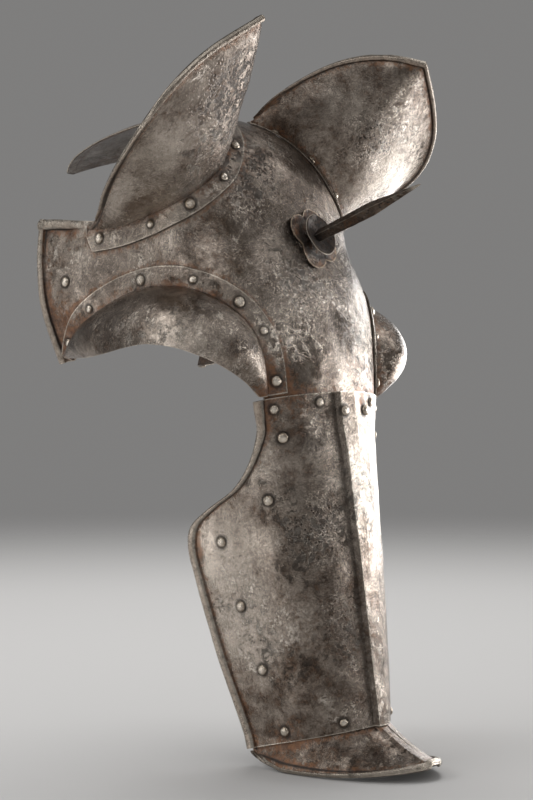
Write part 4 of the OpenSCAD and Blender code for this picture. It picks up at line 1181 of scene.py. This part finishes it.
fade = Finish("floor")
fromX, fromY, _ = fade.outs("ShaderNodeSeparateXYZ", {"Vector": fade.place()})
far = fade.step((fromX ** 2 + fromY ** 2) ** 0.5, studio["fadeFrom"], studio["fadeTo"])
matt = fade.add("ShaderNodeBsdfDiffuse", {}, {"Color": studio["floorColour"]})
clear = fade.add("ShaderNodeBsdfTransparent")
cover = fade.add("ShaderNodeMixShader", {}, {0: far, 1: matt, 2: clear})
fade.add("ShaderNodeOutputMaterial", {}, {"Surface": cover})
low = cadBox[0][2] / toMetres - studio["floorGap"]
lines = np.linspace(-studio["floorHalf"], studio["floorHalf"], studio["floorLines"])
across, deep = np.meshgrid(lines, lines, indexing="ij")
floor = makeMesh("floor", axes(across, deep, low).reshape(-1, 3),
                 quadsOf(np.arange(across.size).reshape(across.shape)))
floor.data.materials.append(fade.material)

# The background seen directly and in metal is the backdrop's colour; the light from it is its own strength
sky = Finish("studio", bpy.data.worlds.new("studio"))
bpy.context.scene.world = sky.material
path = sky.add("ShaderNodeLightPath").socket.node.outputs
seen = [Wire(sky, path[kind]) for kind in ("Is Camera Ray", "Is Glossy Ray", "Is Transmission Ray")]
backdrop = seen[0].atLeast(seen[1]).atLeast(seen[2])
lit = sky.add("ShaderNodeBackground", {}, {"Color": (1.0, 1.0, 1.0), "Strength": studio["worldLight"]})
shown = sky.add("ShaderNodeBackground", {}, {"Color": studio["backColour"]})
both = sky.add("ShaderNodeMixShader", {}, {0: backdrop, 1: lit, 2: shown})
sky.add("ShaderNodeOutputWorld", {}, {"Surface": both})

for number, (place, target, width, height, power, inMetal, onFloor) in enumerate(studio["lamps"]):
    lamp = bpy.data.lights.new("lamp%d" % number, "AREA")
    lamp.shape, lamp.size, lamp.size_y, lamp.energy = "RECTANGLE", width, height, power
    holder = bpy.data.objects.new("lamp%d" % number, lamp)
    holder.location = place
    holder.rotation_euler = (Vector(target) - Vector(place)).to_track_quat("-Z", "Y").to_euler()
    holder.visible_camera, holder.visible_glossy, holder.visible_diffuse = False, inMetal, onFloor
    bpy.context.scene.collection.objects.link(holder)

view = {"place": (-1.2056, -0.942, 0), "look": (0.788, 0.6157, 0), "lens": 76.5, "sensor": 36}
cameraData = bpy.data.cameras.new("camera")
cameraData.sensor_fit, cameraData.sensor_height, cameraData.lens = "VERTICAL", view["sensor"], view["lens"]
camera = bpy.data.objects.new("camera", cameraData)
camera.location = view["place"]
camera.rotation_euler = Vector(view["look"]).to_track_quat("-Z", "Y").to_euler()
bpy.context.scene.collection.objects.link(camera)
bpy.context.scene.camera = camera
bpy.context.scene.view_settings.view_transform = "Standard"
